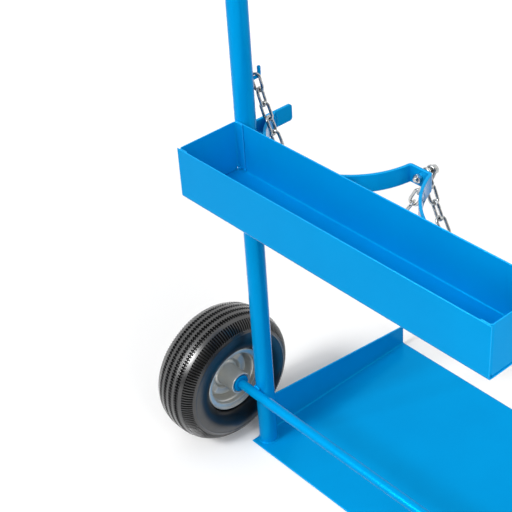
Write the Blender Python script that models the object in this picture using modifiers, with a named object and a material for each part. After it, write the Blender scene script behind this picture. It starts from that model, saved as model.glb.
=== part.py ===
"""Two-bay gas cylinder cart, modelled as separate pieces in metres with +Z up.

The cart stands on its base plate and both tyres. +X is to the operator's right,
+Y points away from the operator, towards the cylinders, and the origin lies on the
ground midway between the uprights.
"""

import math

import bmesh
import bpy
from mathutils import Matrix, Vector

# Frame tube
TUBE_DIAMETER = 0.0337
UPRIGHT_SPACING = 0.602
HANDLE_HEIGHT = 1.18
HANDLE_SETBACK = 0.11
HANDLE_BEND_HEIGHT = 0.98
HANDLE_BEND_RADIUS = 0.09

# Base plate with a tapered flange folded up on either side
BASE_WIDTH = 0.633
BASE_FRONT_OVERHANG = 0.0263
BASE_REACH = 0.372
BASE_SHEET = 0.003
FLANGE_START = 0.0185
FLANGE_HEIGHT = 0.0828
FLANGE_END_HEIGHT = 0.0445
SHEET_BEND_RADIUS = 0.003

# Storage tray
TRAY_LENGTH = 0.607
TRAY_DEPTH = 0.1154
TRAY_HEIGHT = 0.0866
TRAY_BASE_HEIGHT = 0.5934
TRAY_SHEET = 0.002
TRAY_END_INSET = 0.0015
TRAY_TAB = 0.018
TRAY_END_LIFT = 0.0022

# Cylinder saddle, bent from flat bar
SADDLE_TOP = 0.650
BAR_HEIGHT = 0.030
BAR_THICKNESS = 0.005
LEFT_BAY_RADIUS = 0.1341
LEFT_BAY_CENTRE = -0.1905
RIGHT_BAY_RADIUS = 0.1795
RIGHT_BAY_CENTRE = 0.158
NOSE_REACH = 0.1085
EAR_REACH = 0.1125
EAR_CORNER = 0.006

# Chain hooks, chain bolt and chains
HOOK_ROD = 0.006
HOOK_HEIGHT = 0.7375
HOOK_REACH = 0.0167
HOOK_RISE = 0.0165
HOOK_BEND = 0.004
BOLT_DIAMETER = 0.008
BOLT_HEAD_WIDTH = 0.013
BOLT_HEAD_HEIGHT = 0.0053
BOLT_THREAD_END = 0.004
BOLT_NUT_HEIGHT = 0.0065
BOLT_LOCK_NUT_HEIGHT = 0.006
CHAIN_WIRE = 0.005
CHAIN_PITCH = 0.0241
CHAIN_WIDTH = 0.019
CHAIN_BITE = 0.0003
CHAIN_END_GAP = 0.0007
CHAIN_SIDE_GAP = 0.0014
CHAIN_SPREAD = 0.0045
CHAIN_LINKS = 21
END_TURN_LINKS = 3

# Axle and what keeps the wheels on it
AXLE_DIAMETER = 0.0178
COLLAR_DIAMETER = 0.031
COLLAR_STAND_OUT = 0.0015
WASHER_DIAMETER = 0.032
WASHER_THICKNESS = 0.003
PIN_WIRE = 0.0032
PIN_RING_RADIUS = 0.0048
PIN_TAIL = 0.007
AXLE_END = 0.006

# Wheel: pneumatic tyre on a pressed two-piece rim
TYRE_DIAMETER = 0.258
TYRE_WIDTH = 0.100
TYRE_WALL = 0.0055
TREAD_THICKNESS = 0.010
GROOVE_DEPTH = 0.003
GROOVE_WIDTH = 0.004
GROOVE_OFFSETS = (0.008, 0.0235)
WIDEST_RADIUS = 0.088
WHEEL_TRACK = 0.773
RIM_LIP_RADIUS = 0.0622
RIM_LIP_OFFSET = 0.0345
BEAD_SEAT_RADIUS = 0.0515
RIM_SHEET = 0.002
RIM_WEB_OFFSET = 0.003
RIM_PRESSING_HEIGHT = 0.009
RIM_NECK_LENGTH = 0.007
HUB_DIAMETER = 0.041
HUB_BORE = 0.036
HUB_INNER_REACH = 0.0505
HUB_OUTER_REACH = 0.0300
BEARING_WIDTH = 0.011
BEARING_RECESS = 0.003
VALVE_DIAMETER = 0.008
VALVE_LENGTH = 0.020
VALVE_TILT = math.radians(48)
VALVE_ANGLE = math.radians(125)
VALVE_CAP_LENGTH = 0.009

# Clearances
SEAT_GAP = 0.0003
RUNNING_GAP = 0.0001
BOLT_HOLE_GAP = 0.0003

# Facets round a turn
TUBE_RESOLUTION = 6
TYRE_STEPS = 24
RIM_STEPS = 16
HUB_STEPS = 16
PIN_STEPS = 10
AXLE_SIDES = 20
ARC_STEPS = 12

# Sizes that follow from the driving dimensions
HALF_SPACING = UPRIGHT_SPACING / 2
TUBE_RADIUS = TUBE_DIAMETER / 2
AXLE_RADIUS = AXLE_DIAMETER / 2
TYRE_RADIUS = TYRE_DIAMETER / 2
HUB_RADIUS = HUB_DIAMETER / 2
AXLE_Y = -(TUBE_RADIUS + AXLE_RADIUS + SEAT_GAP)
AXLE_Z = TYRE_RADIUS
TRAY_REAR = -(TUBE_RADIUS + SEAT_GAP)
TRAY_FRONT = TRAY_REAR - TRAY_DEPTH
TRAY_TOP = TRAY_BASE_HEIGHT + TRAY_HEIGHT
SADDLE_MIDDLE = SADDLE_TOP - BAR_HEIGHT / 2
EAR_INNER = HALF_SPACING + TUBE_RADIUS + SEAT_GAP

# Finishes: colour, roughness and metallic value
BLUE_PAINT = ((0.0, 0.29, 0.71), 0.28, 0.0)
ZINC = ((0.62, 0.63, 0.65), 0.34, 1.0)
RIM_STEEL = ((0.42, 0.43, 0.43), 0.42, 1.0)
BRIGHT_STEEL = ((0.70, 0.71, 0.72), 0.25, 1.0)
TYRE_RUBBER = ((0.018, 0.018, 0.019), 0.62, 0.0)
TUBE_RUBBER = ((0.012, 0.012, 0.012), 0.75, 0.0)

PARTS = bpy.data.collections.new("gas_cylinder_cart")
CUTTERS = bpy.data.collections.new("gas_cylinder_cart_cutters")

# Turns an outline drawn in local XY, with its thickness along local Z, into world axes
ACROSS_X = Matrix(((0, 0, 1, 0), (1, 0, 0, 0), (0, 1, 0, 0), (0, 0, 0, 1)))
ACROSS_Y = Matrix(((1, 0, 0, 0), (0, 0, -1, 0), (0, 1, 0, 0), (0, 0, 0, 1)))


def clear_scene():
    """Removes every object that the file starts with and links the two collections."""
    for obj in list(bpy.data.objects):
        bpy.data.objects.remove(obj, do_unlink=True)
    for collection in (PARTS, CUTTERS):
        bpy.context.scene.collection.children.link(collection)


def dress(obj, finish):
    """Gives an object its own Principled material and smooth shading up to sharp edges."""
    colour, roughness, metallic = finish
    material = bpy.data.materials.new(obj.name + "_finish")
    material.use_nodes = True
    shader = material.node_tree.nodes["Principled BSDF"]
    shader.inputs["Base Color"].default_value = (*colour, 1.0)
    shader.inputs["Roughness"].default_value = roughness
    shader.inputs["Metallic"].default_value = metallic
    obj.data.materials.append(material)
    obj.data.shade_smooth()
    obj.data.set_sharp_from_angle(angle=math.radians(35))
    return obj


def place(name, data, matrix=None, collection=PARTS, parent=None):
    """Links a new object that holds the data, at a matrix and under a parent."""
    obj = bpy.data.objects.new(name, data)
    collection.objects.link(obj)
    obj.parent = parent
    obj.matrix_local = matrix or Matrix.Identity(4)
    return obj


def empty(name, matrix):
    """An empty that carries the pieces of one moving body."""
    return place(name, None, matrix)


def as_mesh(curve_object):
    """Turns a curve object into a mesh with its caps welded on, and removes the curve."""
    bpy.context.view_layer.update()
    evaluated = curve_object.evaluated_get(bpy.context.evaluated_depsgraph_get())
    mesh = bpy.data.meshes.new_from_object(evaluated)
    mesh.name = curve_object.name
    work = bmesh.new()
    work.from_mesh(mesh)
    bmesh.ops.remove_doubles(work, verts=work.verts, dist=1e-6)
    bmesh.ops.recalc_face_normals(work, faces=work.faces)
    work.to_mesh(mesh)
    work.free()
    curve = curve_object.data
    bpy.data.objects.remove(curve_object)
    bpy.data.curves.remove(curve)
    return mesh


def poly_curve(name, points, cyclic, dimensions, tilt=0.0):
    """A curve object with one POLY spline through the points, its section turned by a tilt."""
    curve = bpy.data.curves.new(name, "CURVE")
    curve.dimensions = dimensions
    spline = curve.splines.new("POLY")
    spline.points.add(len(points) - 1)
    for spline_point, point in zip(spline.points, points):
        spline_point.co = (*Vector(point).to_3d(), 1.0)
        spline_point.tilt = tilt
    spline.use_cyclic_u = cyclic
    return place(name, curve, collection=CUTTERS)


def rod_mesh(name, points, radius, resolution, cyclic=False, tilt=0.0):
    """Mesh of a round rod along the points, closed by caps unless it is a loop."""
    obj = poly_curve(name, points, cyclic, "3D", tilt)
    obj.data.bevel_depth = radius
    obj.data.bevel_resolution = resolution
    obj.data.use_fill_caps = not cyclic
    return as_mesh(obj)


def sheet_mesh(name, outline, thickness):
    """Mesh of a flat outline in XY with its thickness centred on Z."""
    obj = poly_curve(name, outline, True, "2D")
    obj.data.fill_mode = "BOTH"
    obj.data.extrude = thickness / 2
    return as_mesh(obj)


def rounded(points, radii, steps, closed):
    """Replaces each corner by an arc of its radius, joined smoothly to both sides."""
    count = len(points)
    corners = [Vector(point).to_3d() for point in points]
    path = []
    for index, corner in enumerate(corners):
        radius = radii[index]
        at_end = not closed and index in (0, count - 1)
        if at_end or radius == 0:
            path.append(corner)
            continue
        back = (corners[index - 1] - corner).normalized()
        ahead = (corners[(index + 1) % count] - corner).normalized()
        half = back.angle(ahead) / 2
        centre = corner + (back + ahead).normalized() * radius / math.sin(half)
        setback = radius / math.tan(half)
        start = corner + back * setback - centre
        end = corner + ahead * setback - centre
        turn = math.pi - 2 * half
        for step in range(steps + 1):
            share = step / steps
            weights = math.sin((1 - share) * turn), math.sin(share * turn)
            path.append(centre + (start * weights[0] + end * weights[1]) / math.sin(turn))
    return path


def turned_mesh(name, section):
    """Mesh of a closed section of (radius, height) points, for a Screw about local Z."""
    area = sum(a[0] * b[1] - b[0] * a[1] for a, b in zip(section, section[1:] + section[:1]))
    loop = list(reversed(section)) if area > 0 else list(section)
    mesh = bpy.data.meshes.new(name)
    edges = [(i, (i + 1) % len(loop)) for i in range(len(loop))]
    mesh.from_pydata([(r, 0.0, h) for r, h in loop], edges, [])
    return mesh


def add_screw(obj, steps):
    """Turns a section once round local Z."""
    screw = obj.modifiers.new("turn", "SCREW")
    screw.axis = "Z"
    screw.angle = 2 * math.pi
    screw.steps = steps
    screw.render_steps = steps
    screw.use_merge_vertices = True
    screw.merge_threshold = 1e-5


def turned(name, section, steps, finish, parent=None, matrix=None):
    """A turned piece: a closed section of (radius, height) points about local Z."""
    obj = place(name, turned_mesh(name, section), matrix, parent=parent)
    add_screw(obj, steps)
    return dress(obj, finish)


def ring_section(inner, outer, low, high):
    """Rectangular section of a ring."""
    return [(outer, high), (outer, low), (inner, low), (inner, high)]


def cutter(name, mesh, matrix=None, parent=None):
    """A hidden operand for a Boolean."""
    obj = place(name, mesh, matrix, CUTTERS, parent)
    obj.hide_render = True
    obj.display_type = "WIRE"
    return obj


def combine(obj, operand, operation):
    """Adds a Boolean that joins the operand to an object or cuts it away."""
    modifier = obj.modifiers.new(operand.name, "BOOLEAN")
    modifier.operation = operation
    modifier.object = operand


def cylinder_mesh(name, radius, low, high, sides):
    """Mesh of a capped cylinder along Z between two heights."""
    mesh = bpy.data.meshes.new(name)
    work = bmesh.new()
    middle = Matrix.Translation((0, 0, (low + high) / 2))
    bmesh.ops.create_cone(
        work, cap_ends=True, segments=sides, radius1=radius, radius2=radius, depth=high - low, matrix=middle
    )
    work.to_mesh(mesh)
    work.free()
    return mesh


def box_mesh(name, low, high):
    """Mesh of a box between two corners."""
    mesh = bpy.data.meshes.new(name)
    work = bmesh.new()
    size = Vector(high) - Vector(low)
    middle = Matrix.Translation((Vector(low) + Vector(high)) / 2)
    bmesh.ops.create_cube(work, size=1, matrix=middle @ Matrix.Diagonal((*size, 1)))
    work.to_mesh(mesh)
    work.free()
    return mesh


def build_frame():
    """One bent tube: two uprights and the handle that joins them."""
    foot = BASE_SHEET + SEAT_GAP
    path = [
        (-HALF_SPACING, 0, foot),
        (-HALF_SPACING, 0, HANDLE_BEND_HEIGHT),
        (-HALF_SPACING, -HANDLE_SETBACK, HANDLE_HEIGHT),
        (HALF_SPACING, -HANDLE_SETBACK, HANDLE_HEIGHT),
        (HALF_SPACING, 0, HANDLE_BEND_HEIGHT),
        (HALF_SPACING, 0, foot),
    ]
    bends = rounded(path, [HANDLE_BEND_RADIUS] * len(path), 5, closed=False)
    dress(place("frame_tube", rod_mesh("frame_tube", bends, TUBE_RADIUS, TUBE_RESOLUTION)), BLUE_PAINT)


def folded_channel(width, height, sheet, bend):
    """Outline of a sheet folded into a channel that opens upwards, from (0, 0) to (width, height)."""
    corners = [
        (0, height),
        (0, 0),
        (width, 0),
        (width, height),
        (width - sheet, height),
        (width - sheet, sheet),
        (sheet, sheet),
        (sheet, height),
    ]
    outside = bend + sheet
    return rounded(corners, [0, outside, outside, 0, 0, bend, bend, 0], 3, closed=True)


def build_base():
    """Base plate whose side flanges taper towards the far edge and stop short of the uprights."""
    depth = BASE_FRONT_OVERHANG + BASE_REACH
    section = folded_channel(BASE_WIDTH, FLANGE_HEIGHT, BASE_SHEET, SHEET_BEND_RADIUS)
    middle = Vector((-BASE_WIDTH / 2, (BASE_REACH - BASE_FRONT_OVERHANG) / 2, 0))
    at = Matrix.Translation(middle) @ ACROSS_Y
    plate = dress(place("base_plate", sheet_mesh("base_plate", section, depth), at), BLUE_PAINT)
    beyond = BASE_WIDTH
    above = 2 * FLANGE_HEIGHT
    trim = [
        (-beyond, BASE_SHEET + SEAT_GAP),
        (FLANGE_START, BASE_SHEET + SEAT_GAP),
        (FLANGE_START, FLANGE_HEIGHT),
        (BASE_REACH, FLANGE_END_HEIGHT),
        (beyond, FLANGE_END_HEIGHT),
        (beyond, above),
        (-beyond, above),
    ]
    trim_mesh = sheet_mesh("flange_trim", trim, 2 * BASE_WIDTH)
    combine(plate, cutter("flange_trim", trim_mesh, ACROSS_X), "DIFFERENCE")


def build_tray():
    """Storage tray: a folded channel along the uprights, closed by an end panel on either side."""
    channel = folded_channel(TRAY_DEPTH, TRAY_HEIGHT, TRAY_SHEET, SHEET_BEND_RADIUS)
    at = Matrix.Translation((0, TRAY_FRONT, TRAY_BASE_HEIGHT)) @ ACROSS_X
    dress(place("tray_channel", sheet_mesh("tray_channel", channel, TRAY_LENGTH), at), BLUE_PAINT)
    clear = TRAY_SHEET + SEAT_GAP
    tab = folded_channel(TRAY_DEPTH - 2 * clear, TRAY_TAB, TRAY_SHEET, SHEET_BEND_RADIUS)
    floor = TRAY_BASE_HEIGHT + TRAY_SHEET
    low = floor + TRAY_END_LIFT
    height = TRAY_TOP - low
    corner = clear + TRAY_SHEET + SHEET_BEND_RADIUS
    notch_top = floor + SHEET_BEND_RADIUS
    notches = []
    for name, near, far in (
        ("front_notch", TRAY_FRONT - corner, TRAY_FRONT + corner),
        ("rear_notch", TRAY_REAR - corner, TRAY_REAR + corner),
    ):
        low_corner = (-TRAY_LENGTH, near, floor - TRAY_HEIGHT)
        high_corner = (TRAY_LENGTH, far, notch_top)
        notches.append(cutter(name, box_mesh(name, low_corner, high_corner)))
    for side, name in ((-1, "tray_end_left"), (1, "tray_end_right")):
        end = side * (TRAY_LENGTH / 2 - TRAY_END_INSET)
        turn = Matrix.Rotation(side * math.pi / 2, 4, "Z")
        shift = Matrix.Translation((-TRAY_DEPTH / 2 + clear, 0, 0))
        centre = Matrix.Translation((end, (TRAY_REAR + TRAY_FRONT) / 2, low + height / 2))
        panel = place(name, sheet_mesh(name, tab, height), centre @ turn @ shift)
        for notch in notches:
            combine(panel, notch, "DIFFERENCE")
        dress(panel, BLUE_PAINT)


def arc(centre, radius, start, end, steps):
    """Points of a circular arc in plan, from one angle to another."""
    angles = [start + (end - start) * step / steps for step in range(steps + 1)]
    return [Vector((centre[0] + radius * math.cos(a), centre[1] + radius * math.sin(a), 0)) for a in angles]


def bay(centre_x, inner_radius, outer_edge):
    """Plan of one saddle bay: from the ear's side round to the nose, touching the tray's rear wall.

    Args give the bay's centre, its inside radius and the x at which the bar has to reach its ear.
    """
    middle = inner_radius + BAR_THICKNESS / 2
    centre = (centre_x, TRAY_REAR + SEAT_GAP + inner_radius + BAR_THICKNESS)
    side = math.copysign(1, outer_edge)
    bottom = -math.pi / 2
    to_ear = math.asin((abs(outer_edge) + BAR_THICKNESS - side * centre_x) / middle)
    to_nose = math.acos((centre[1] - NOSE_REACH) / middle)
    ear_half = arc(centre, middle, bottom + side * to_ear, bottom, ARC_STEPS)
    nose_half = arc(centre, middle, bottom, bottom - side * to_nose, ARC_STEPS)
    return ear_half + nose_half[1:]


def saddle_path():
    """Plan of the saddle's middle line from the left ear over the nose to the right ear."""
    left = bay(LEFT_BAY_CENTRE, LEFT_BAY_RADIUS, -EAR_INNER)
    right = bay(RIGHT_BAY_CENTRE, RIGHT_BAY_RADIUS, EAR_INNER)
    return left + list(reversed(right))


def nose_middle(path):
    """Middle of the saddle's nose, between the inner ends of both bays."""
    inner_end = 2 * ARC_STEPS
    return (path[inner_end] + path[inner_end + 1]) / 2


def build_saddle():
    """Flat bar bent into two bays, with an ear plate on the outer side of each upright."""
    path = saddle_path()
    mesh = bpy.data.meshes.new("saddle_bar")
    work = bmesh.new()
    low = [work.verts.new(point + Vector((0, 0, SADDLE_MIDDLE - BAR_HEIGHT / 2))) for point in path]
    edges = [work.edges.new(pair) for pair in zip(low, low[1:])]
    risen = bmesh.ops.extrude_edge_only(work, edges=edges)["geom"]
    moved = [item for item in risen if isinstance(item, bmesh.types.BMVert)]
    bmesh.ops.translate(work, verts=moved, vec=(0, 0, BAR_HEIGHT))
    bmesh.ops.recalc_face_normals(work, faces=work.faces)
    work.to_mesh(mesh)
    work.free()
    bar = place("saddle_bar", mesh)
    wall = bar.modifiers.new("bar thickness", "SOLIDIFY")
    wall.thickness = BAR_THICKNESS
    wall.offset = 0
    wall.use_even_offset = True
    dress(bar, BLUE_PAINT)
    reach = 4 * BAR_THICKNESS
    inner = EAR_INNER - SEAT_GAP
    for side, name in ((-1, "left_end_trim"), (1, "right_end_trim")):
        near, far = sorted((side * inner, side * (inner + reach)))
        low_corner = (near, 0, SADDLE_TOP - 2 * BAR_HEIGHT)
        high_corner = (far, 2 * EAR_REACH, SADDLE_TOP + BAR_HEIGHT)
        combine(bar, cutter(name, box_mesh(name, low_corner, high_corner)), "DIFFERENCE")
    hole = cylinder_mesh("bolt_hole", BOLT_DIAMETER / 2 + BOLT_HOLE_GAP, -reach, reach, HUB_STEPS)
    combine(bar, cutter("bolt_hole", hole, bolt_matrix()), "DIFFERENCE")
    outline = [
        (-TUBE_RADIUS, -BAR_HEIGHT / 2),
        (EAR_REACH, -BAR_HEIGHT / 2),
        (EAR_REACH, BAR_HEIGHT / 2),
        (-TUBE_RADIUS, BAR_HEIGHT / 2),
    ]
    shape = rounded(outline, [0, EAR_CORNER, EAR_CORNER, 0], 4, closed=True)
    for side, name in ((-1, "saddle_ear_left"), (1, "saddle_ear_right")):
        at = Matrix.Translation((side * (EAR_INNER + BAR_THICKNESS / 2), 0, SADDLE_MIDDLE)) @ ACROSS_X
        dress(place(name, sheet_mesh(name, shape, BAR_THICKNESS), at), BLUE_PAINT)


def ring_and_shank(name, ring_radius, rod, tail, finish, matrix):
    """A closed ring in local XZ with a straight shank down local Z, joined into one piece.

    The shank's end lies a tail's length below the ring's centre.
    """
    circle = [
        (ring_radius * math.cos(a), 0, ring_radius * math.sin(a))
        for a in (2 * math.pi * step / PIN_STEPS for step in range(PIN_STEPS))
    ]
    ring = place(name, rod_mesh(name, circle, rod / 2, 2, cyclic=True), matrix)
    shank = cylinder_mesh(name + "_shank", rod / 2, -tail, -ring_radius, PIN_STEPS)
    combine(ring, cutter(name + "_shank", shank, matrix), "UNION")
    return dress(ring, finish)


def bolt_matrix():
    """Place of the chain bolt: local Z runs from the middle of the nose towards the operator."""
    nose = nose_middle(saddle_path())
    return Matrix.Translation((nose.x, nose.y, SADDLE_MIDDLE)) @ ACROSS_Y


def link_breadth():
    """Breadth of a link's six-sided wire across its corners."""
    return CHAIN_WIRE / math.cos(math.pi / 6)


def bolt_stack():
    """Distances from the nose's middle to what the bolt holds behind it.

    Returns the lock nut's near face, the right and the left chain's end link and the bolt's head.
    """
    lock_nut = BAR_THICKNESS / 2 + SEAT_GAP
    right_link = lock_nut + BOLT_LOCK_NUT_HEIGHT + CHAIN_SIDE_GAP + link_breadth() / 2
    left_link = right_link + link_breadth() + CHAIN_SPREAD
    head = left_link + link_breadth() / 2 + CHAIN_SIDE_GAP
    return lock_nut, right_link, left_link, head


def build_chain_bolt():
    """Bolt through the saddle's nose, clamped by a nut on either side, with the chain ends at its head."""
    at = bolt_matrix()
    nut, _, _, head = bolt_stack()
    end = nut + BOLT_NUT_HEIGHT + BOLT_THREAD_END
    corner = BOLT_HEAD_WIDTH / math.sqrt(3)
    bolt = place("chain_bolt", cylinder_mesh("chain_bolt", corner, -head - BOLT_HEAD_HEIGHT, -head, 6), at)
    inside_head = -head - BOLT_HEAD_HEIGHT / 2
    shank = cylinder_mesh("chain_bolt_shank", BOLT_DIAMETER / 2, inside_head, end, HUB_STEPS)
    combine(bolt, cutter("chain_bolt_shank", shank, at), "UNION")
    dress(bolt, ZINC)
    bore = BOLT_DIAMETER / 2 + BOLT_HOLE_GAP
    for name, low, high in (
        ("chain_nut", nut, nut + BOLT_NUT_HEIGHT),
        ("chain_lock_nut", -nut - BOLT_LOCK_NUT_HEIGHT, -nut),
    ):
        hexagon = place(name, cylinder_mesh(name, corner, low, high, 6), at)
        below, above = low - BOLT_NUT_HEIGHT, high + BOLT_NUT_HEIGHT
        hole = cylinder_mesh(name + "_bore", bore, below, above, HUB_STEPS)
        combine(hexagon, cutter(name + "_bore", hole, at), "DIFFERENCE")
        dress(hexagon, ZINC)


def hook_axis_y():
    """Distance from the uprights' plane to the prong of a chain hook."""
    return TUBE_RADIUS + HOOK_REACH


def build_hooks():
    """Bent rod hooks on the far side of the uprights, which hold the chains' free ends."""
    start = TUBE_RADIUS + SEAT_GAP
    path = [
        (0, start, 0),
        (0, hook_axis_y(), 0),
        (0, hook_axis_y(), HOOK_RISE),
    ]
    bends = rounded(path, [HOOK_BEND] * len(path), 4, closed=False)
    for side, name in ((-1, "chain_hook_left"), (1, "chain_hook_right")):
        at = Matrix.Translation((side * HALF_SPACING, 0, HOOK_HEIGHT))
        dress(place(name, rod_mesh(name, bends, HOOK_ROD / 2, 3), at), BLUE_PAINT)


def link_mesh():
    """One chain link in local XY, long along X, with eight-cornered ends and a six-sided wire."""
    bend = (CHAIN_WIDTH - CHAIN_WIRE) / 2
    tip = (CHAIN_PITCH + CHAIN_WIRE) / 2
    corner = bend * math.tan(math.pi / 8)
    shoulder = tip - bend + corner
    quarter = [(shoulder, bend), (tip, corner)]
    half = quarter + [(x, -y) for x, y in reversed(quarter)]
    outline = half + [(-x, -y) for x, y in half]
    return rod_mesh("chain_link", outline, link_breadth() / 2, 1, cyclic=True, tilt=math.pi / 6)


def link_step():
    """Distance from link to link: the room inside a link and a bite where the wires bear."""
    wire_at_tip = CHAIN_WIRE * math.cos(math.pi / 8)
    return CHAIN_PITCH + CHAIN_WIRE - wire_at_tip + CHAIN_BITE


def hanging_points(start, end, length, count):
    """Points at equal steps along a chain of a given length that hangs between two ends.

    The curve is the catenary height = sag * cosh(u), solved by halving for its sag value.
    """
    across = Vector((end.x - start.x, end.y - start.y, 0))
    span = across.length
    drop = end.z - start.z
    slack = math.sqrt(length**2 - drop**2)
    low, high = span / 40, span * 40
    for _ in range(80):
        sag = math.sqrt(low * high)
        if 2 * sag * math.sinh(span / (2 * sag)) > slack:
            low = sag
        else:
            high = sag
    first = math.atanh(drop / length) - span / (2 * sag)
    points = []
    for index in range(count + 1):
        arc_length = length * index / count
        u = math.asinh(math.sinh(first) + arc_length / sag)
        rise = sag * (math.cosh(u) - math.cosh(first))
        points.append(start + across * (u - first) * sag / span + Vector((0, 0, rise)))
    return points


def chain_points(side):
    """Bearing points of a chain's links, from the rod of its hook to the chain bolt.

    The end links hang on the rod and the bolt with a gap, along their own directions.
    """
    beside_prong = hook_axis_y() - HOOK_ROD / 2 - CHAIN_SIDE_GAP - link_breadth() / 2
    rod = Vector((side * HALF_SPACING, beside_prong, HOOK_HEIGHT))
    _, right_link, left_link, _ = bolt_stack()
    nose = nose_middle(saddle_path())
    bolt = Vector((nose.x, nose.y + (right_link if side > 0 else left_link), SADDLE_MIDDLE))
    start, end = rod, bolt
    for _ in range(6):
        points = hanging_points(start, end, CHAIN_LINKS * link_step(), CHAIN_LINKS)
        first = (points[1] - points[0]).normalized()
        last = (points[-1] - points[-2]).normalized()
        start = rod - first * (HOOK_ROD / 2 + CHAIN_END_GAP + CHAIN_BITE / 2)
        end = bolt + last * (BOLT_DIAMETER / 2 + CHAIN_END_GAP + CHAIN_BITE / 2)
    return points


def build_chain(name, side):
    """A chain of interlocked links that hangs from a hook to the chain bolt, on its swing axis."""
    points = chain_points(side)
    link = link_mesh()
    origin = points[0]
    across = points[-1] - points[0]
    heading = math.atan2(across.y, across.x)
    straight = 0 if across.x > 0 else math.pi
    sets = (bmesh.new(), bmesh.new())
    for index, (near, far) in enumerate(zip(points, points[1:])):
        along = (far - near).normalized()
        share = min(1.0, (CHAIN_LINKS - 1 - index) / END_TURN_LINKS)
        turn = straight + (heading - straight) * share
        level = Vector((-math.sin(turn), math.cos(turn), 0))
        normal = (level - along * level.dot(along)).normalized()
        upright = normal.cross(along)
        sideways, out = (upright, normal) if index % 2 == 0 else (normal, -upright)
        matrix = Matrix((along, sideways, out)).transposed().to_4x4()
        matrix.translation = (near + far) / 2 - origin
        copy = link.copy()
        copy.transform(matrix)
        sets[index % 2].from_mesh(copy)
        bpy.data.meshes.remove(copy)
    meshes = []
    for suffix, work in zip(("", "_cross_links"), sets):
        mesh = bpy.data.meshes.new(name + suffix)
        bmesh.ops.recalc_face_normals(work, faces=work.faces)
        work.to_mesh(mesh)
        work.free()
        meshes.append(mesh)
    bpy.data.meshes.remove(link)
    swing = empty(name + "_swing", Matrix.Translation(origin))
    chain = place(name, meshes[0], parent=swing)
    combine(chain, cutter(name + "_cross_links", meshes[1], parent=swing), "UNION")
    dress(chain, ZINC)


def wheel_end_x():
    """Outer face of a wheel's hub, measured from the cart's middle."""
    return WHEEL_TRACK / 2 + HUB_OUTER_REACH


def build_axle():
    """Axle bar behind the uprights, with collars inside the wheels and washers and pins outside."""
    washer_low = wheel_end_x() + SEAT_GAP
    pin_x = washer_low + WASHER_THICKNESS + SEAT_GAP + PIN_WIRE / 2
    half_length = pin_x + PIN_WIRE / 2 + AXLE_END
    lying = Matrix.Translation((0, AXLE_Y, AXLE_Z)) @ ACROSS_X
    axle = place("axle", cylinder_mesh("axle", AXLE_RADIUS, -half_length, half_length, AXLE_SIDES), lying)
    for side, word in ((-1, "left"), (1, "right")):
        hole = cylinder_mesh(
            "pin_hole_" + word, PIN_WIRE / 2 + SEAT_GAP, -AXLE_DIAMETER, AXLE_DIAMETER, HUB_STEPS
        )
        at = Matrix.Translation((side * pin_x, AXLE_Y, AXLE_Z))
        combine(axle, cutter("pin_hole_" + word, hole, at), "DIFFERENCE")
        ring_centre = AXLE_RADIUS + SEAT_GAP + PIN_RING_RADIUS + PIN_WIRE / 2
        tail = ring_centre + AXLE_RADIUS + PIN_TAIL
        quarter_turn = Matrix.Rotation(math.pi / 2, 4, "Z")
        at = Matrix.Translation((side * pin_x, AXLE_Y, AXLE_Z + ring_centre)) @ quarter_turn
        ring_and_shank("split_pin_" + word, PIN_RING_RADIUS, PIN_WIRE, tail, ZINC, at)
        outward = wheel_matrix(side)
        bore = AXLE_RADIUS + SEAT_GAP
        low = HUB_OUTER_REACH + SEAT_GAP
        section = ring_section(bore, WASHER_DIAMETER / 2, low, low + WASHER_THICKNESS)
        turned("axle_washer_" + word, section, HUB_STEPS, ZINC, matrix=outward)
        low = -HUB_INNER_REACH - COLLAR_STAND_OUT
        high = -HUB_INNER_REACH + BEARING_RECESS - SEAT_GAP
        section = ring_section(bore, COLLAR_DIAMETER / 2, low, high)
        turned("axle_collar_" + word, section, HUB_STEPS, BLUE_PAINT, matrix=outward)
    dress(axle, BLUE_PAINT)


def wheel_matrix(side):
    """Place of a wheel: local Z runs outwards along the axle from the tyre's middle plane."""
    turn = Matrix.Rotation(side * math.pi / 2, 4, "Y")
    return Matrix.Translation((side * WHEEL_TRACK / 2, AXLE_Y, AXLE_Z)) @ turn


def bead_radius():
    """Radius of the tyre's beads, just clear of the rim's seat."""
    return BEAD_SEAT_RADIUS + RIM_SHEET + SEAT_GAP


def bead_face():
    """Offset of the beads' outer faces, just clear of the rim's flange."""
    return RIM_LIP_OFFSET - 2 * RIM_SHEET - SEAT_GAP


def tyre_outside():
    """One side of the tyre's outer contour as (radius, offset), from the bead to the crown.

    The sidewall leaves the rim's lip on a quarter ellipse and the tread closes it with a
    superellipse of power 0.8, which gives a flat crown and a firm shoulder.
    """
    half = TYRE_WIDTH / 2
    seat = bead_radius()
    flange = bead_face()
    lip_top = RIM_LIP_RADIUS + RIM_SHEET
    lip_side = RIM_LIP_OFFSET - RIM_SHEET / 2
    bead = [(seat, flange), (lip_top - RIM_SHEET, flange)]
    lower = []
    for step in range(3):
        angle = step / 3 * math.pi / 2
        lower.append(
            (
                WIDEST_RADIUS - (WIDEST_RADIUS - lip_top) * math.cos(angle),
                lip_side + (half - lip_side) * math.sin(angle),
            )
        )
    upper = [crown_point(angle) for angle in (math.radians(a) for a in (90, 70, 50))]
    grooves = []
    for offset in reversed(GROOVE_OFFSETS):
        for edge in (GROOVE_WIDTH / 2, 0, -GROOVE_WIDTH / 2):
            radius = crown_point(crown_angle(offset + edge))[0]
            depth = GROOVE_DEPTH if edge == 0 else 0
            grooves.append((radius - depth, offset + edge))
    return bead + lower + upper + grooves


def crown_point(angle):
    """Point of the tread's superellipse at an angle from the crown."""
    power = 0.8
    height = (TYRE_RADIUS - WIDEST_RADIUS) * max(math.cos(angle), 0.0) ** power
    return WIDEST_RADIUS + height, TYRE_WIDTH / 2 * math.sin(angle) ** power


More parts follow.
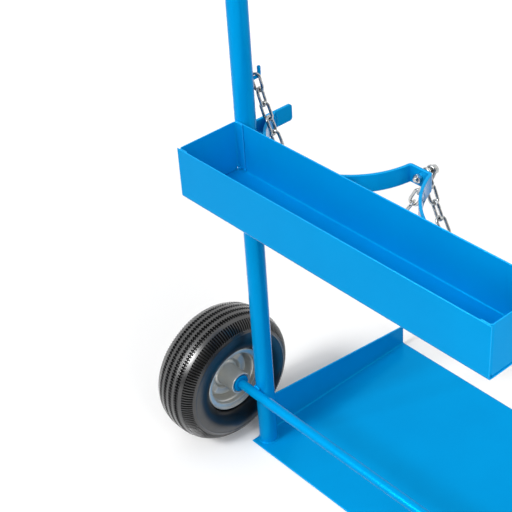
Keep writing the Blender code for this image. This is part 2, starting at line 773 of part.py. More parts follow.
def crown_angle(offset):
    """Angle at which the tread's superellipse reaches an offset from the middle plane."""
    return math.asin((offset / (TYRE_WIDTH / 2)) ** (1 / 0.8))


def tyre_inside(margin):
    """One side of the tyre's inner contour as (radius, offset), moved inwards by a margin."""
    half = TYRE_WIDTH / 2 - TYRE_WALL - margin
    top = TYRE_RADIUS - TREAD_THICKNESS - margin
    seat = bead_radius() + margin
    toe = bead_face() - 1.6 * TYRE_WALL - margin
    shoulder = WIDEST_RADIUS + 0.6 * (top - WIDEST_RADIUS)
    return [
        (seat, toe),
        (RIM_LIP_RADIUS + RIM_SHEET, toe),
        (WIDEST_RADIUS - TYRE_WALL, half),
        (shoulder, half),
        (top, half * 0.55),
    ]


def both_sides(contour):
    """A contour followed by its mirror image, which closes it through the middle plane."""
    return contour + [(radius, -offset) for radius, offset in reversed(contour)]


def build_wheel(word, side):
    """Tyre, inner tube, rim halves, hub, bearings and valve, on one axis."""
    wheel = empty("wheel_" + word + "_axis", wheel_matrix(side))
    section = both_sides(tyre_outside()) + list(reversed(both_sides(tyre_inside(0))))
    turned("tyre_" + word, section, TYRE_STEPS, TYRE_RUBBER, wheel)
    turned("inner_tube_" + word, both_sides(tyre_inside(SEAT_GAP)), TYRE_STEPS, TUBE_RUBBER, wheel)
    rims = {}
    for half_name, direction in (("rim_inner_", -1), ("rim_outer_", 1)):
        rims[half_name] = build_rim(half_name + word, direction, wheel)
    bore = HUB_BORE / 2
    turned(
        "hub_" + word,
        ring_section(bore, HUB_RADIUS, -HUB_INNER_REACH, HUB_OUTER_REACH),
        HUB_STEPS,
        RIM_STEEL,
        wheel,
    )
    shaft = (AXLE_RADIUS + RUNNING_GAP) / math.cos(math.pi / HUB_STEPS)
    seat = (bore - SEAT_GAP) * math.cos(math.pi / HUB_STEPS)
    inner_low = -HUB_INNER_REACH + BEARING_RECESS
    outer_high = HUB_OUTER_REACH - RUNNING_GAP
    for name, low in (("bearing_inner_", inner_low), ("bearing_outer_", outer_high - BEARING_WIDTH)):
        section = ring_section(shaft, seat, low, low + BEARING_WIDTH)
        turned(name + word, section, HUB_STEPS, BRIGHT_STEEL, wheel)
    build_valve(word, wheel, rims["rim_outer_"])


def build_rim(name, direction, wheel):
    """One rim half: a pressed dish from the rolled lip over the bead seat to the neck on the hub."""
    neck = HUB_RADIUS + SEAT_GAP + RIM_SHEET / 2
    pressing = RIM_WEB_OFFSET + RIM_PRESSING_HEIGHT
    flange = RIM_LIP_OFFSET - RIM_SHEET
    profile = [
        (RIM_LIP_RADIUS - RIM_SHEET / 2, RIM_LIP_OFFSET + RIM_SHEET / 2),
        (RIM_LIP_RADIUS, RIM_LIP_OFFSET - RIM_SHEET / 2),
        (RIM_LIP_RADIUS - RIM_SHEET, flange - RIM_SHEET / 2),
        (BEAD_SEAT_RADIUS + RIM_SHEET / 2, flange - RIM_SHEET / 2),
        (BEAD_SEAT_RADIUS, flange - 2 * RIM_SHEET),
        (BEAD_SEAT_RADIUS, RIM_WEB_OFFSET),
        (BEAD_SEAT_RADIUS - 3 * RIM_SHEET, RIM_WEB_OFFSET),
        (BEAD_SEAT_RADIUS - 5 * RIM_SHEET, pressing),
        (neck + 4 * RIM_SHEET, pressing),
        (neck + 2 * RIM_SHEET, RIM_WEB_OFFSET),
        (neck + RIM_SHEET / 2, RIM_WEB_OFFSET),
        (neck, RIM_WEB_OFFSET + RIM_NECK_LENGTH),
    ]
    mesh = bpy.data.meshes.new(name)
    edges = [(i, i + 1) for i in range(len(profile) - 1)]
    mesh.from_pydata([(r, 0.0, direction * h) for r, h in profile], edges, [])
    rim = place(name, mesh, parent=wheel)
    add_screw(rim, RIM_STEPS)
    wall = rim.modifiers.new("sheet", "SOLIDIFY")
    wall.thickness = RIM_SHEET
    wall.offset = 0
    wall.use_even_offset = True
    return dress(rim, RIM_STEEL)


def build_valve(word, wheel, rim):
    """Valve stem from the inner tube through the outer rim half, closed by its cap."""
    tube_flat = bead_radius() * math.cos(math.pi / TYRE_STEPS)
    root = tube_flat - VALVE_DIAMETER / 2 * math.sin(VALVE_TILT) - SEAT_GAP
    offset = RIM_LIP_OFFSET - 11 * RIM_SHEET
    around = Matrix.Rotation(VALVE_ANGLE, 4, "Z")
    lean = Matrix.Rotation(-math.pi / 2 + VALVE_TILT, 4, "Y")
    at = around @ Matrix.Translation((root, 0, offset)) @ lean
    radius = VALVE_DIAMETER / 2
    stem_mesh = cylinder_mesh("valve_stem_" + word, radius, 0, VALVE_LENGTH, 10)
    dress(place("valve_stem_" + word, stem_mesh, at, parent=wheel), TUBE_RUBBER)
    low = VALVE_LENGTH + SEAT_GAP
    cap_mesh = cylinder_mesh("valve_cap_" + word, radius, low, low + VALVE_CAP_LENGTH, 10)
    dress(place("valve_cap_" + word, cap_mesh, at, parent=wheel), TUBE_RUBBER)
    hole = cylinder_mesh("valve_hole_" + word, radius + SEAT_GAP, -VALVE_DIAMETER, VALVE_DIAMETER, 10)
    combine(rim, cutter("valve_hole_" + word, hole, at, parent=wheel), "DIFFERENCE")


def main():
    """Builds the whole cart."""
    clear_scene()
    build_frame()
    build_base()
    build_tray()
    build_saddle()
    build_chain_bolt()
    build_hooks()
    build_chain("chain_left", -1)
    build_chain("chain_right", 1)
    build_axle()
    build_wheel("left", -1)
    build_wheel("right", 1)


main()
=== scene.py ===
"""Looks of the two-bay gas cylinder cart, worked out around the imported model.

Lengths are in metres. +X is to the operator's right, +Y points towards the
cylinders, +Z is up and the cart stands on z = 0.
"""

from __future__ import annotations

import logging
import math
from dataclasses import dataclass
from enum import Enum
from typing import Any, Sequence

import bpy
import numpy as np
from mathutils import Matrix, Vector

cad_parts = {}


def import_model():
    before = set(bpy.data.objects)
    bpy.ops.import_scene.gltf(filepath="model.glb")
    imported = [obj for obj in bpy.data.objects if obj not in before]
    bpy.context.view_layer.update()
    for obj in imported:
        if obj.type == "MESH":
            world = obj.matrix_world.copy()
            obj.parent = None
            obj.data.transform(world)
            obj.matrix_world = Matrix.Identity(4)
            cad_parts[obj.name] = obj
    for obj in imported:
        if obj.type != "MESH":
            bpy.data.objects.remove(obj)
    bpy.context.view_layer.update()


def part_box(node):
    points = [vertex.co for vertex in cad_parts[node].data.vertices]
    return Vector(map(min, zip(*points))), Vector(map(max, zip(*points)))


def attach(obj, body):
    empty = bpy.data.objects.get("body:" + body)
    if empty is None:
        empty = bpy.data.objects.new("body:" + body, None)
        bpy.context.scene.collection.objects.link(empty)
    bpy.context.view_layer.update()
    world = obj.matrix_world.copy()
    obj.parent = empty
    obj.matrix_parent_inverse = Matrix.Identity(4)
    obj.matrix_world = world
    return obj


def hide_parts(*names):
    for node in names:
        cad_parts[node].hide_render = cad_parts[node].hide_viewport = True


Array = np.ndarray
Colour = tuple[float, float, float]
LOG = logging.getLogger("cart")
SEAT_GAP = 0.0003
RUNNING_GAP = 0.0001
BORDER = 0.001  # Distance of the second row of points from a sheet's border


# Numbers and paths


def smooth(value: Array) -> Array:
    """Smooth step 3t^2 - 2t^3 of a value held between 0 and 1."""
    held = np.clip(value, 0.0, 1.0)
    return held * held * (3.0 - 2.0 * held)


def unit(vectors: Array) -> Array:
    """Vectors along the last axis, each divided by its own length."""
    return vectors / np.maximum(np.linalg.norm(vectors, axis=-1, keepdims=True), 1e-12)


def grid(x: Any, y: Any, z: Any) -> Array:
    """Points (x, y, z), each coordinate spread over the shape that all three make."""
    return np.stack(np.broadcast_arrays(x, y, z), axis=-1)


def slopes(points: Array, looped: bool) -> Array:
    """Differences along the first axis, across the joint too where it is looped."""
    return np.roll(points, -1, axis=0) - np.roll(points, 1, axis=0) if looped else np.gradient(points, axis=0)


def spaced(low: float, high: float, count: int, margin: float = BORDER) -> Array:
    """Both ends, and evenly spaced values between them that keep a margin from either."""
    return np.concatenate([[low], np.linspace(low + margin, high - margin, count), [high]])


def lengths(path: Array) -> Array:
    """Length of a path from its start to each of its points."""
    return np.concatenate([[0.0], np.cumsum(np.linalg.norm(np.diff(path, axis=0), axis=1))])


def at_lengths(path: Array, at: Array) -> Array:
    """Points of a path at given lengths from its start."""
    run = lengths(path)
    return np.stack([np.interp(at, run, axis) for axis in path.T], axis=1)


def resampled(path: Array, step: float) -> Array:
    """The same path with points at even steps of its length."""
    total = lengths(path)[-1]
    return at_lengths(path, np.linspace(0.0, total, max(2, int(round(total / step)) + 1)))


def closed(loop: Array) -> Array:
    """A loop with its first point once more at its end."""
    return np.concatenate([loop, loop[:1]])


def fillet(corners: Sequence[Sequence[float]], radius: float, steps: int = 8) -> Array:
    """Path through corners, each inner one replaced by a circular arc.

    With unit vectors b and a from a corner to its neighbours and h half the angle
    between them, the arc's centre lies radius / sin h along b + a, and the points
    are sin-weighted sums of its two radii.

    Args:
        corners: The corners in order, two or three numbers each.
        radius: Radius of every arc.
        steps: Steps along each arc.

    Returns:
        The path's points, one row each.
    """
    points = np.asarray(corners, float)
    path = [points[:1]]
    share = np.linspace(0.0, 1.0, steps + 1)[:, None]
    for before, corner, after in zip(points, points[1:], points[2:]):
        back, ahead = unit(before - corner), unit(after - corner)
        half = math.acos(float(np.clip(back @ ahead, -1.0, 1.0))) / 2
        centre = corner + unit(back + ahead) * radius / math.sin(half)
        start = corner + back * radius / math.tan(half) - centre
        end = corner + ahead * radius / math.tan(half) - centre
        turn = math.pi - 2 * half
        arc = start * np.sin((1 - share) * turn) + end * np.sin(share * turn)
        path.append(centre + arc / math.sin(turn))
    return np.concatenate([*path, points[-1:]])


def softened(path: Array, width: float, step: float) -> Array:
    """A path of even steps with its corners rounded by a moving bell-shaped mean.

    Args:
        path: Points at even steps.
        width: Spread of the bell along the path.
        step: Distance between the points.

    Returns:
        The rounded path, with the same number of points and the same ends.
    """
    reach = int(math.ceil(3 * width / step))
    bell = np.exp(-0.5 * (np.arange(-reach, reach + 1) * step / width) ** 2)
    bell /= bell.sum()
    before = 2 * path[:1] - path[reach:0:-1]
    after = 2 * path[-1:] - path[-2 : -reach - 2 : -1]
    padded = np.concatenate([before, path, after])
    return np.stack([np.convolve(axis, bell, "valid") for axis in padded.T], axis=1)


# Bodies


@dataclass
class Body:
    """Points and faces of a closed surface in the making, with painted-light marks: painted highlight on
    sheet edges, painted shade in grooves.
    """

    points: Array
    faces: list[list[int]]
    painted_light_marks: Array | None = None

    def moved(self, matrix: Matrix) -> Body:
        """The same body carried by a matrix."""
        turn = np.array(matrix.to_3x3())
        return Body(self.points @ turn.T + np.array(matrix.translation), self.faces, self.painted_light_marks)

    @staticmethod
    def joined(bodies: Sequence[Body]) -> Body:
        """Several bodies as one, kept apart as shells and without marks.

        Args:
            bodies: The bodies in order.

        Returns:
            One body with all their points and faces.
        """
        starts = np.cumsum([0] + [len(body.points) for body in bodies]).tolist()
        faces = [[start + k for k in face] for start, body in zip(starts, bodies) for face in body.faces]
        return Body(np.concatenate([body.points for body in bodies]), faces)


def quads(rows: int, columns: int, around: bool = False, looped: bool = False) -> Array:
    """Corner numbers of the faces of a grid, row step first and column step second.

    Args:
        rows: Points along the first parameter.
        columns: Points along the second parameter.
        around: True where the last row joins the first.
        looped: True where the last column joins the first.

    Returns:
        One row of four corner numbers for each face.
    """
    spans = np.arange(rows if around else rows - 1), np.arange(columns if looped else columns - 1)
    i, j = np.meshgrid(*spans, indexing="ij")
    below, right = (i + 1) % rows, (j + 1) % columns
    corners = (i * columns + j, below * columns + j, below * columns + right, i * columns + right)
    return np.stack([corner.ravel() for corner in corners], axis=1)


def circle(sides: int, radius: float) -> Array:
    """Points of a circle, anticlockwise: radius times (cos a, sin a)."""
    angle = np.linspace(0.0, 2 * math.pi, sides, endpoint=False)
    return radius * np.stack([np.cos(angle), np.sin(angle)], axis=1)


def carried(path: Array, section: Array, scale: Array | None = None, looped: bool = False) -> Body:
    """A section carried along a path: P(i, j) = path_i + scale_i (x_j side_i + y_j lift_i).

    The side vector is handed on from point to point with its part along the path taken
    off, so the section turns as little as it can.

    Args:
        path: Points in order.
        section: Closed outline, anticlockwise when seen against the path.
        scale: Factor on the section at each point.
        looped: True where the path's end joins its start.

    Returns:
        The closed body, with flat caps on an open path.
    """
    along = unit(slopes(path, looped))
    side = np.empty_like(along)
    hold = np.eye(3)[int(np.argmin(np.abs(along[0])))]
    for index, tangent in enumerate(along):
        hold = unit(hold - tangent * (hold @ tangent))
        side[index] = hold
    lift = np.cross(along, side)
    grown = section[None] * (np.ones(len(path)) if scale is None else scale)[:, None, None]
    points = path[:, None] + grown[..., :1] * side[:, None] + grown[..., 1:] * lift[:, None]
    count = len(section)
    faces = quads(len(path), count, around=looped, looped=True)[:, ::-1].tolist()
    if not looped:
        last = (len(path) - 1) * count
        faces += [list(range(count - 1, -1, -1)), list(range(last, last + count))]
    return Body(points.reshape(-1, 3), faces)


def turned(section: Array, steps: int = 72, painted_light_marks: Array | None = None) -> Body:
    """A closed section turned about local Z: P(i, k) = (r cos a, r sin a, h).

    Args:
        section: Loop of (radius, height) rows, or one such loop for each angle.
        steps: Number of angles.
        painted_light_marks: A painted-light mark for each point, where there are any.

    Returns:
        The closed ring.
    """
    loops = section if section.ndim == 3 else np.broadcast_to(section, (steps, *section.shape))
    first = loops[0]
    ahead = np.roll(first, -1, axis=0)
    if np.sum(first[:, 0] * ahead[:, 1] - ahead[:, 0] * first[:, 1]) < 0:
        loops = loops[:, ::-1]
        painted_light_marks = None if painted_light_marks is None else painted_light_marks[:, ::-1]
    count = len(loops)
    angle = np.linspace(0.0, 2 * math.pi, count, endpoint=False)[:, None]
    radius, height = loops[..., 0], loops[..., 1]
    points = grid(radius * np.cos(angle), radius * np.sin(angle), height)
    faces = quads(count, loops.shape[1], around=True, looped=True).tolist()
    return Body(points.reshape(-1, 3), faces, None if painted_light_marks is None else painted_light_marks.ravel())


def ring(inner: float, outer: float, low: float, high: float, edge: float) -> Array:
    """Section of a ring with rounded edges, as (radius, height) rows."""
    corners = [(inner, (low + high) / 2), (inner, low), (outer, low), (outer, high), (inner, high)]
    return fillet([*corners, corners[0]], edge, 3)[:-1]


def plate(
    surface: Array, thickness: float, edge: float, kept: Array | None = None, around: bool = False
) -> Body:
    """A sheet of even thickness on a middle surface, with rounded edges all round.

    The faces are the surface moved by half the thickness along its normals. Round the
    border, with outward vector o and normal n, the edge runs through
    p + edge cos(f) o + (thickness / 2 - edge + edge sin(f)) n and its mirror image.

    Args:
        surface: Grid of points, short of the true border by the edge radius.
        thickness: Thickness of the sheet.
        edge: Radius of its edges, under half the thickness.
        kept: Which faces of the grid are there, all of them if left out.
        around: True where the grid's last row joins its first.

    Returns:
        The closed sheet, with painted-highlight marks on its edges.
    """
    rows, columns = surface.shape[:2]
    down, across = unit(slopes(surface, around)), unit(np.gradient(surface, axis=1))
    normal = unit(np.cross(down, across)).reshape(-1, 3)
    flat = surface.reshape(-1, 3)
    count = len(flat)
    faces = quads(rows, columns, around=around)
    if kept is not None:
        faces = faces[kept.ravel()]
    heads = np.concatenate([faces[:, [k, (k + 1) % 4]] for k in range(4)])
    lone = ~np.isin(heads[:, 0] * count + heads[:, 1], heads[:, 1] * count + heads[:, 0])
    near, far = heads[lone].T
    outward = unit(np.cross(flat[far] - flat[near], normal[near]))
    leaving, coming = np.zeros((count, 3)), np.zeros((count, 3))
    leaving[near], coming[far] = outward, outward
    mitre = (leaving + coming) / np.maximum(1.0 + np.sum(leaving * coming, axis=1), 0.2)[:, None]
    border = np.unique(heads[lone])
    slot_of = np.full(count, -1)
    slot_of[border] = np.arange(len(border))
    angles = np.radians([60.0, 30.0, 0.0])
    out = np.concatenate([np.cos(angles), np.cos(angles)[::-1]]) * edge
    lift = thickness / 2 - edge + edge * np.sin(angles)
    lift = np.concatenate([lift, -lift[::-1]])
    half = thickness / 2 * normal
    layers = [flat[border] + o * mitre[border] + u * normal[border] for o, u in zip(out, lift)]
    points = np.concatenate([flat + half, flat - half, *layers])
    bases = [2 * count + k * len(border) for k in range(len(out))]
    rims = [(near, far), *((base + slot_of[near], base + slot_of[far]) for base in bases)]
    rims.append((count + near, count + far))
    strips = [np.stack([one[0], two[0], two[1], one[1]], axis=1) for one, two in zip(rims, rims[1:])]
    # Painted-highlight marks: 0 on both faces, 1 on all points round the rounded edges.
    painted_light_marks = np.concatenate([np.zeros(2 * count), np.ones(len(points) - 2 * count)])
    return Body(points, np.concatenate([faces, faces[:, ::-1] + count, *strips]).tolist(), painted_light_marks)


def bead(path: Any, radius: float, ripple: float = 0.0022) -> Body:
    """A weld bead along a path: a round section that swells with each ripple and ends in a cap.

    The section's factor is (1 + 0.16 |sin(pi s / ripple)|) times sqrt(1 - e^2), where e
    grows from 0 to 1 over one radius at either end.

    Args:
        path: Corners or points of the bead's middle line.
        radius: Radius of the bead.
        ripple: Length of one ripple.

    Returns:
        The closed bead.
    """
    line = resampled(np.asarray(path, float), ripple / 5)
    run = lengths(line)
    near_end = np.minimum(run, run[-1] - run) / radius
    cap = np.sqrt(np.clip(1.0 - np.clip(1.0 - near_end, 0.0, 1.0) ** 2, 0.03, 1.0))
    waves = 1.0 + 0.16 * np.abs(np.sin(math.pi * run / ripple))
    return carried(line, circle(12, radius), cap * waves)


def hexagon(flats: float, low: float, high: float, bore: float | None = None) -> Body:
    """A hexagon head or nut along local Z, with both ends turned to a 30 degree chamfer.

    The radius at angle a is flats / 2 / cos(a folded into 60 degrees), and the chamfer
    starts at 0.95 of half the flats. A bore widens by 0.12 of its radius at its ends.

    Args:
        flats: Width across flats.
        low: Height of the lower face.
        high: Height of the upper face.
        bore: Radius of the hole, or nothing for a solid head.

    Returns:
        The closed head or nut.
    """
    steps, lead = 72, 0.12
    angle = np.linspace(0.0, 2 * math.pi, steps, endpoint=False)
    folded = (angle + math.pi / 6) % (math.pi / 3) - math.pi / 6
    corner = flats / 2 / np.cos(folded)
    face = np.full(steps, 0.95 * flats / 2)
    drop = (corner - face) * math.tan(math.radians(30))
    foot, top = np.full(steps, low), np.full(steps, high)
    radii, heights = [face, corner, corner, face], [foot, low + drop, high - drop, top]
    if bore is not None:
        hole, wide = np.full(steps, bore), np.full(steps, bore * (1 + lead))
        radii += [wide, hole, hole, wide]
        heights += [top, top - bore * lead, foot + bore * lead, foot]
    radius, height = np.stack(radii, axis=1), np.stack(heights, axis=1)
    if bore is not None:
        return turned(np.stack([radius, height], axis=-1))
    points = grid(radius * np.cos(angle)[:, None], radius * np.sin(angle)[:, None], height)
    caps = [[4 * k for k in range(steps - 1, -1, -1)], [4 * k + 3 for k in range(steps)]]
    return Body(points.reshape(-1, 3), quads(steps, 4, around=True).tolist() + caps)


# Shader graphs


class Value:
    """A shader socket that carries a number, with Python's operators as Math nodes."""

    def __init__(self, graph: Graph, socket: bpy.types.NodeSocket) -> None:
        """Wraps one output socket of a graph."""
        self.graph = graph
        self.socket = socket

    def __add__(self, other: Any) -> Value:
        """self + other."""
        return self.graph.maths("ADD", self, other)

    def __rsub__(self, other: Any) -> Value:
        """other - self."""
        return self.graph.maths("SUBTRACT", other, self)

    def __mul__(self, other: Any) -> Value:
        """self * other."""
        return self.graph.maths("MULTIPLY", self, other)

    __radd__ = __add__
    __rmul__ = __mul__

    def between(self, low: float, high: float, start: float = 0.0, end: float = 1.0) -> Value:
        """The value mapped smoothly from low and high to start and end, and held there."""
        sockets = {"Value": self, "From Min": low, "From Max": high, "To Min": start, "To Max": end}
        return self.graph.value("ShaderNodeMapRange", 0, {"interpolation_type": "SMOOTHSTEP"}, sockets)


class Graph:
    """The node tree of one material or of the world."""

    def __init__(self, tree: bpy.types.NodeTree) -> None:
        """Takes over a node tree and empties it."""
        self.tree = tree
        tree.nodes.clear()

    def node(
        self, kind: str, settings: dict[str, Any] | None = None, sockets: dict[Any, Any] | None = None
    ) -> bpy.types.Node:
        """Adds a node, sets its settings and then its sockets.

        Args:
            kind: The node's type.
            settings: Its own properties, set first.
            sockets: Values or links for its inputs, by name or by number.

        Returns:
            The new node.
        """
        node = self.tree.nodes.new(kind)
        for name, value in (settings or {}).items():
            setattr(node, name, value)
        for name, value in (sockets or {}).items():
            source = value.socket if isinstance(value, Value) else value
            if isinstance(source, bpy.types.NodeSocket):
                self.tree.links.new(source, node.inputs[name])
            else:
                node.inputs[name].default_value = source
        return node

    def value(self, kind: str, output: Any, settings: Any = None, sockets: Any = None) -> Value:
        """One output of a new node, by name or by number, as a number to reckon with."""
        return Value(self, self.node(kind, settings, sockets).outputs[output])

    def maths(self, operation: str, first: Any, second: Any) -> Value:
        """One Math node on two numbers or sockets."""
        return self.value("ShaderNodeMath", 0, {"operation": operation}, {0: first, 1: second})

    def place(self, kind: str = "Object") -> bpy.types.NodeSocket:
        """The coordinates of the given kind."""
        return self.node("ShaderNodeTexCoord").outputs[kind]

    def noise(self, scale: float, detail: float = 2.0, stretch: Sequence[float] = (1, 1, 1)) -> Value:
        """Noise on Object coordinates, with a factor for each axis.

        Args:
            scale: Cells per metre.
            detail: Number of finer layers.
            stretch: Factors on x, y and z.

        Returns:
            The noise, from 0 to 1.
        """
        place = self.place()
        if tuple(stretch) != (1, 1, 1):
            place = self.node("ShaderNodeMapping", None, {"Vector": place, "Scale": stretch}).outputs[0]
        sockets = {"Vector": place, "Scale": scale, "Detail": detail}
        return self.value("ShaderNodeTexNoise", "Fac", None, sockets)

    def mark(self) -> Value:
        """The body's painted-light marks, from 0 to 1: painted highlight on sheet edges, painted shade on the
        tyre.
        """
        return self.value("ShaderNodeAttribute", "Fac", {"attribute_name": "mark"})

    def rays(self, *kinds: str) -> Value:
        """1 for rays of the given kinds and 0 for the rest."""
        paths = self.node("ShaderNodeLightPath").outputs
        return sum((Value(self, paths[f"Is {kind} Ray"]) for kind in kinds), 0.0).between(0.0, 1.0)

    def mix(self, factor: Value, first: Any, second: Any) -> bpy.types.NodeSocket:
        """Colour between two colours or colour sockets, by a factor."""
        sockets = {k: (*c, 1.0) if isinstance(c, tuple) else c for k, c in ((6, first), (7, second))}
        return self.node("ShaderNodeMix", {"data_type": "RGBA"}, {"Factor": factor, **sockets}).outputs[2]

    def bump(self, height: Value, strength: float, distance: float) -> bpy.types.NodeSocket:
        """Normal tilted by a height, in metres times distance."""
        sockets = {"Height": height, "Strength": strength, "Distance": distance}
        return self.node("ShaderNodeBump", None, sockets).outputs[0]


# Finishes


class Finish:
    """A surface finish, which makes one material and hands it out again.

    Clouds run between two colours and add to the roughness, and a grain tilts the normals.
    Both are noises, given by cells per metre, detail and, where stretched, a factor for each axis.
    """

    name: str
    slot: str
    colours: tuple[Colour, Colour]
    clouds: tuple[Any, ...]
    span: tuple[float, float] | None = None
    metallic: float = 0.0
    roughness: tuple[float, float]
    grain: tuple[Any, ...]
    relief: tuple[float, float]
    made: bpy.types.Material | None = None

    def material(self) -> bpy.types.Material:
        """The finish's material, made on first use.

        Returns:
            The material, the same one each time.
        """
        if self.made is None:
            self.made = bpy.data.materials.new(self.name)
            self.made.use_nodes = True
            graph = Graph(self.made.node_tree)
            shader = graph.node("ShaderNodeBsdfPrincipled", None, self.sockets(graph))
            graph.node("ShaderNodeOutputMaterial", None, {"Surface": shader.outputs[0]})
        return self.made

    def sockets(self, graph: Graph) -> dict[str, Any]:
        """Colour and roughness by the clouds, and normals by the grain.

        Args:
            graph: The node tree of the material.

        Returns:
            Values and links for the shader's sockets, by their names.
        """
        cloud = graph.noise(*self.clouds)
        share = cloud if self.span is None else cloud.between(*self.span)
        base, gain = self.roughness
        return {
            "Base Color": graph.mix(share, *self.colours),
            "Metallic": self.metallic,
            "Roughness": base + gain * cloud,
            "Normal": graph.bump(graph.noise(*self.grain), *self.relief),
        }


class PowderCoat(Finish):
    """Glossy blue powder coat with a faint orange peel."""

    name, slot = "blue_powder_coat", "blue_paint"

    def sockets(self, graph: Graph) -> dict[str, Any]:
        """Blue with a slow drift, a painted highlight that makes sheet edges paler, a fine peel and gloss at
        flat angles.

        Args:
            graph: The node tree of the material.

        Returns:
            Values and links for the shader's sockets, by their names.
        """
        drift = graph.noise(7.0, 3.0).between(0.3, 0.7)
        blue = graph.mix(drift, (0.0, 0.284, 0.645), (0.0, 0.302, 0.675))
        peel = graph.noise(420.0, 2.0) + 0.25 * graph.noise(1900.0, 1.0)
        angle = graph.value("ShaderNodeLayerWeight", "Facing", None, {"Blend": 0.5})
        return {
            # Painted highlight: sheet edges mixed halfway towards a paler blue.
            "Base Color": graph.mix(graph.mark() * 0.5, blue, (0.02, 0.44, 0.88)),
            "Metallic": 0.16,
            "Roughness": 0.18 + 0.08 * graph.noise(38.0, 3.0),
            "Specular IOR Level": 0.03,
            "Specular Tint": (0.10, 0.50, 1.0, 1.0),
            "Coat Weight": angle.between(0.55, 0.85, 0.0, 0.7),
            "Coat Roughness": 0.08,
            "Normal": graph.bump(peel, 0.10, 0.0004),
        }


class ZincPlate(Finish):
    """Bright zinc of chain and fasteners: cool silver with warmer clouds and marks from tumbling."""

    name, slot = "bright_zinc", "zinc_plate"
    colours = (0.38, 0.40, 0.41), (0.58, 0.58, 0.56)
    clouds, span = (160.0, 3.0), (0.35, 0.65)
    metallic, roughness = 1.0, (0.16, 0.18)
    grain, relief = (1500.0, 2.0), (0.18, 0.0003)


class RimSteel(Finish):
    """Silver lacquer on pressed steel, with a fine flake and slow clouds from the press."""

    name, slot = "silver_rim", "rim_steel"
    colours = (0.66, 0.655, 0.61), (0.74, 0.735, 0.69)
    clouds, span = (45.0, 3.0), (0.3, 0.7)
    metallic, roughness = 0.5, (0.28, 0.08)
    grain, relief = (2600.0, 1.0), (0.08, 0.0002)


class GroundSteel(Finish):
    """Bright steel of the bearings, whose fine grinding marks are clouds and grain alike."""

    name, slot = "ground_steel", "bearing_steel"
    colours = (0.62, 0.63, 0.64), (0.74, 0.74, 0.74)
    clouds = grain = (900.0, 2.0, (6, 1, 1))
    metallic, roughness = 1.0, (0.22, 0.14)
    relief = (0.10, 0.0002)


class TyreRubber(Finish):
    """Black moulded rubber with a little bloom and the mould's grain."""

    name, slot = "tyre_rubber", "tyre_rubber"
    colours = (0.006, 0.006, 0.007), (0.015, 0.015, 0.015)
    clouds, span = (30.0, 4.0), (0.35, 0.75)
    roughness = (0.34, 0.10)
    grain, relief = (1300.0, 2.0), (0.05, 0.0003)

    def sockets(self, graph: Graph) -> dict[str, Any]:
        """Rubber with a shine, with painted shade that darkens it in the grooves and towards the rim, where
        it also loses its shine.

        Args:
            graph: The node tree of the material.

        Returns:
            Values and links for the shader's sockets, by their names.
        """
        plain, dull = super().sockets(graph), graph.mark()
        return {
            **plain,
            # Painted shade: base colour near black in the grooves and towards the rim, with no coat there.
            "Base Color": graph.mix(dull, plain["Base Color"], (0.002, 0.002, 0.002)),
            "Specular IOR Level": 0.2,
            "Coat Weight": 1.0 - dull,
            "Coat Roughness": 0.27,
            "Coat IOR": 1.62,
        }


class SoftRubber(Finish):
    """Matt black rubber of the inner tubes and valves, with talc-like clouds."""

    name, slot = "soft_rubber", "tube_rubber"
    colours = (0.010, 0.010, 0.010), (0.024, 0.024, 0.024)
    clouds, roughness = (110.0, 3.0), (0.58, 0.16)
    grain, relief = (1500.0, 2.0), (0.10, 0.0002)


class Coat(Enum):
    """The finishes of the cart, one of each."""

    BLUE = PowderCoat()
    ZINC = ZincPlate()
    RIM = RimSteel()
    BEARING = GroundSteel()
    TYRE = TyreRubber()
    RUBBER = SoftRubber()


class Side(Enum):
    """The operator's left and right, with the sign of x on that side."""

    LEFT = -1
    RIGHT = 1

    @property
    def word(self) -> str:
        """The word that node names end in."""
        return self.name.lower()


def placed(name: str, data: Any) -> bpy.types.Object:
    """A new object in the scene.

    Args:
        name: The object's name.
        data: Its mesh, lamp or camera.

    Returns:
        The object.
    """
    made = bpy.data.objects.new(name, data)
    bpy.context.scene.collection.objects.link(made)
    return made


def piece(
    name: str,
    body: Body,
    coat: Coat,
    rides: str = "frame",
    nodes: Sequence[str] = (),
    sharp: float = 40.0,
) -> None:
    """Puts a body into the scene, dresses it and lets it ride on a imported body.

    Args:
        name: The piece's name.
        body: Its points and faces.
        coat: Its finish.
        rides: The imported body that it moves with.
        nodes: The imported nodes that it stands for.
        sharp: Angle in degrees from which an edge is shaded sharp.
    """
    mesh = bpy.data.meshes.new(name)
    mesh.from_pydata(body.points, [], body.faces)
    mesh.materials.append(coat.value.material())
    # Painted-light marks go on the mesh as a point attribute for the material.
    if body.painted_light_marks is not None:
        mesh.attributes.new("mark", "FLOAT", "POINT").data.foreach_set("value", body.painted_light_marks)
    mesh.shade_smooth()
    mesh.set_sharp_from_angle(angle=math.radians(sharp))
    made = placed(name, mesh)
    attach(made, rides)
    if nodes:
        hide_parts(*nodes)
    LOG.info("%s: %d faces on %s", name, len(body.faces), rides)


# Sub-assemblies


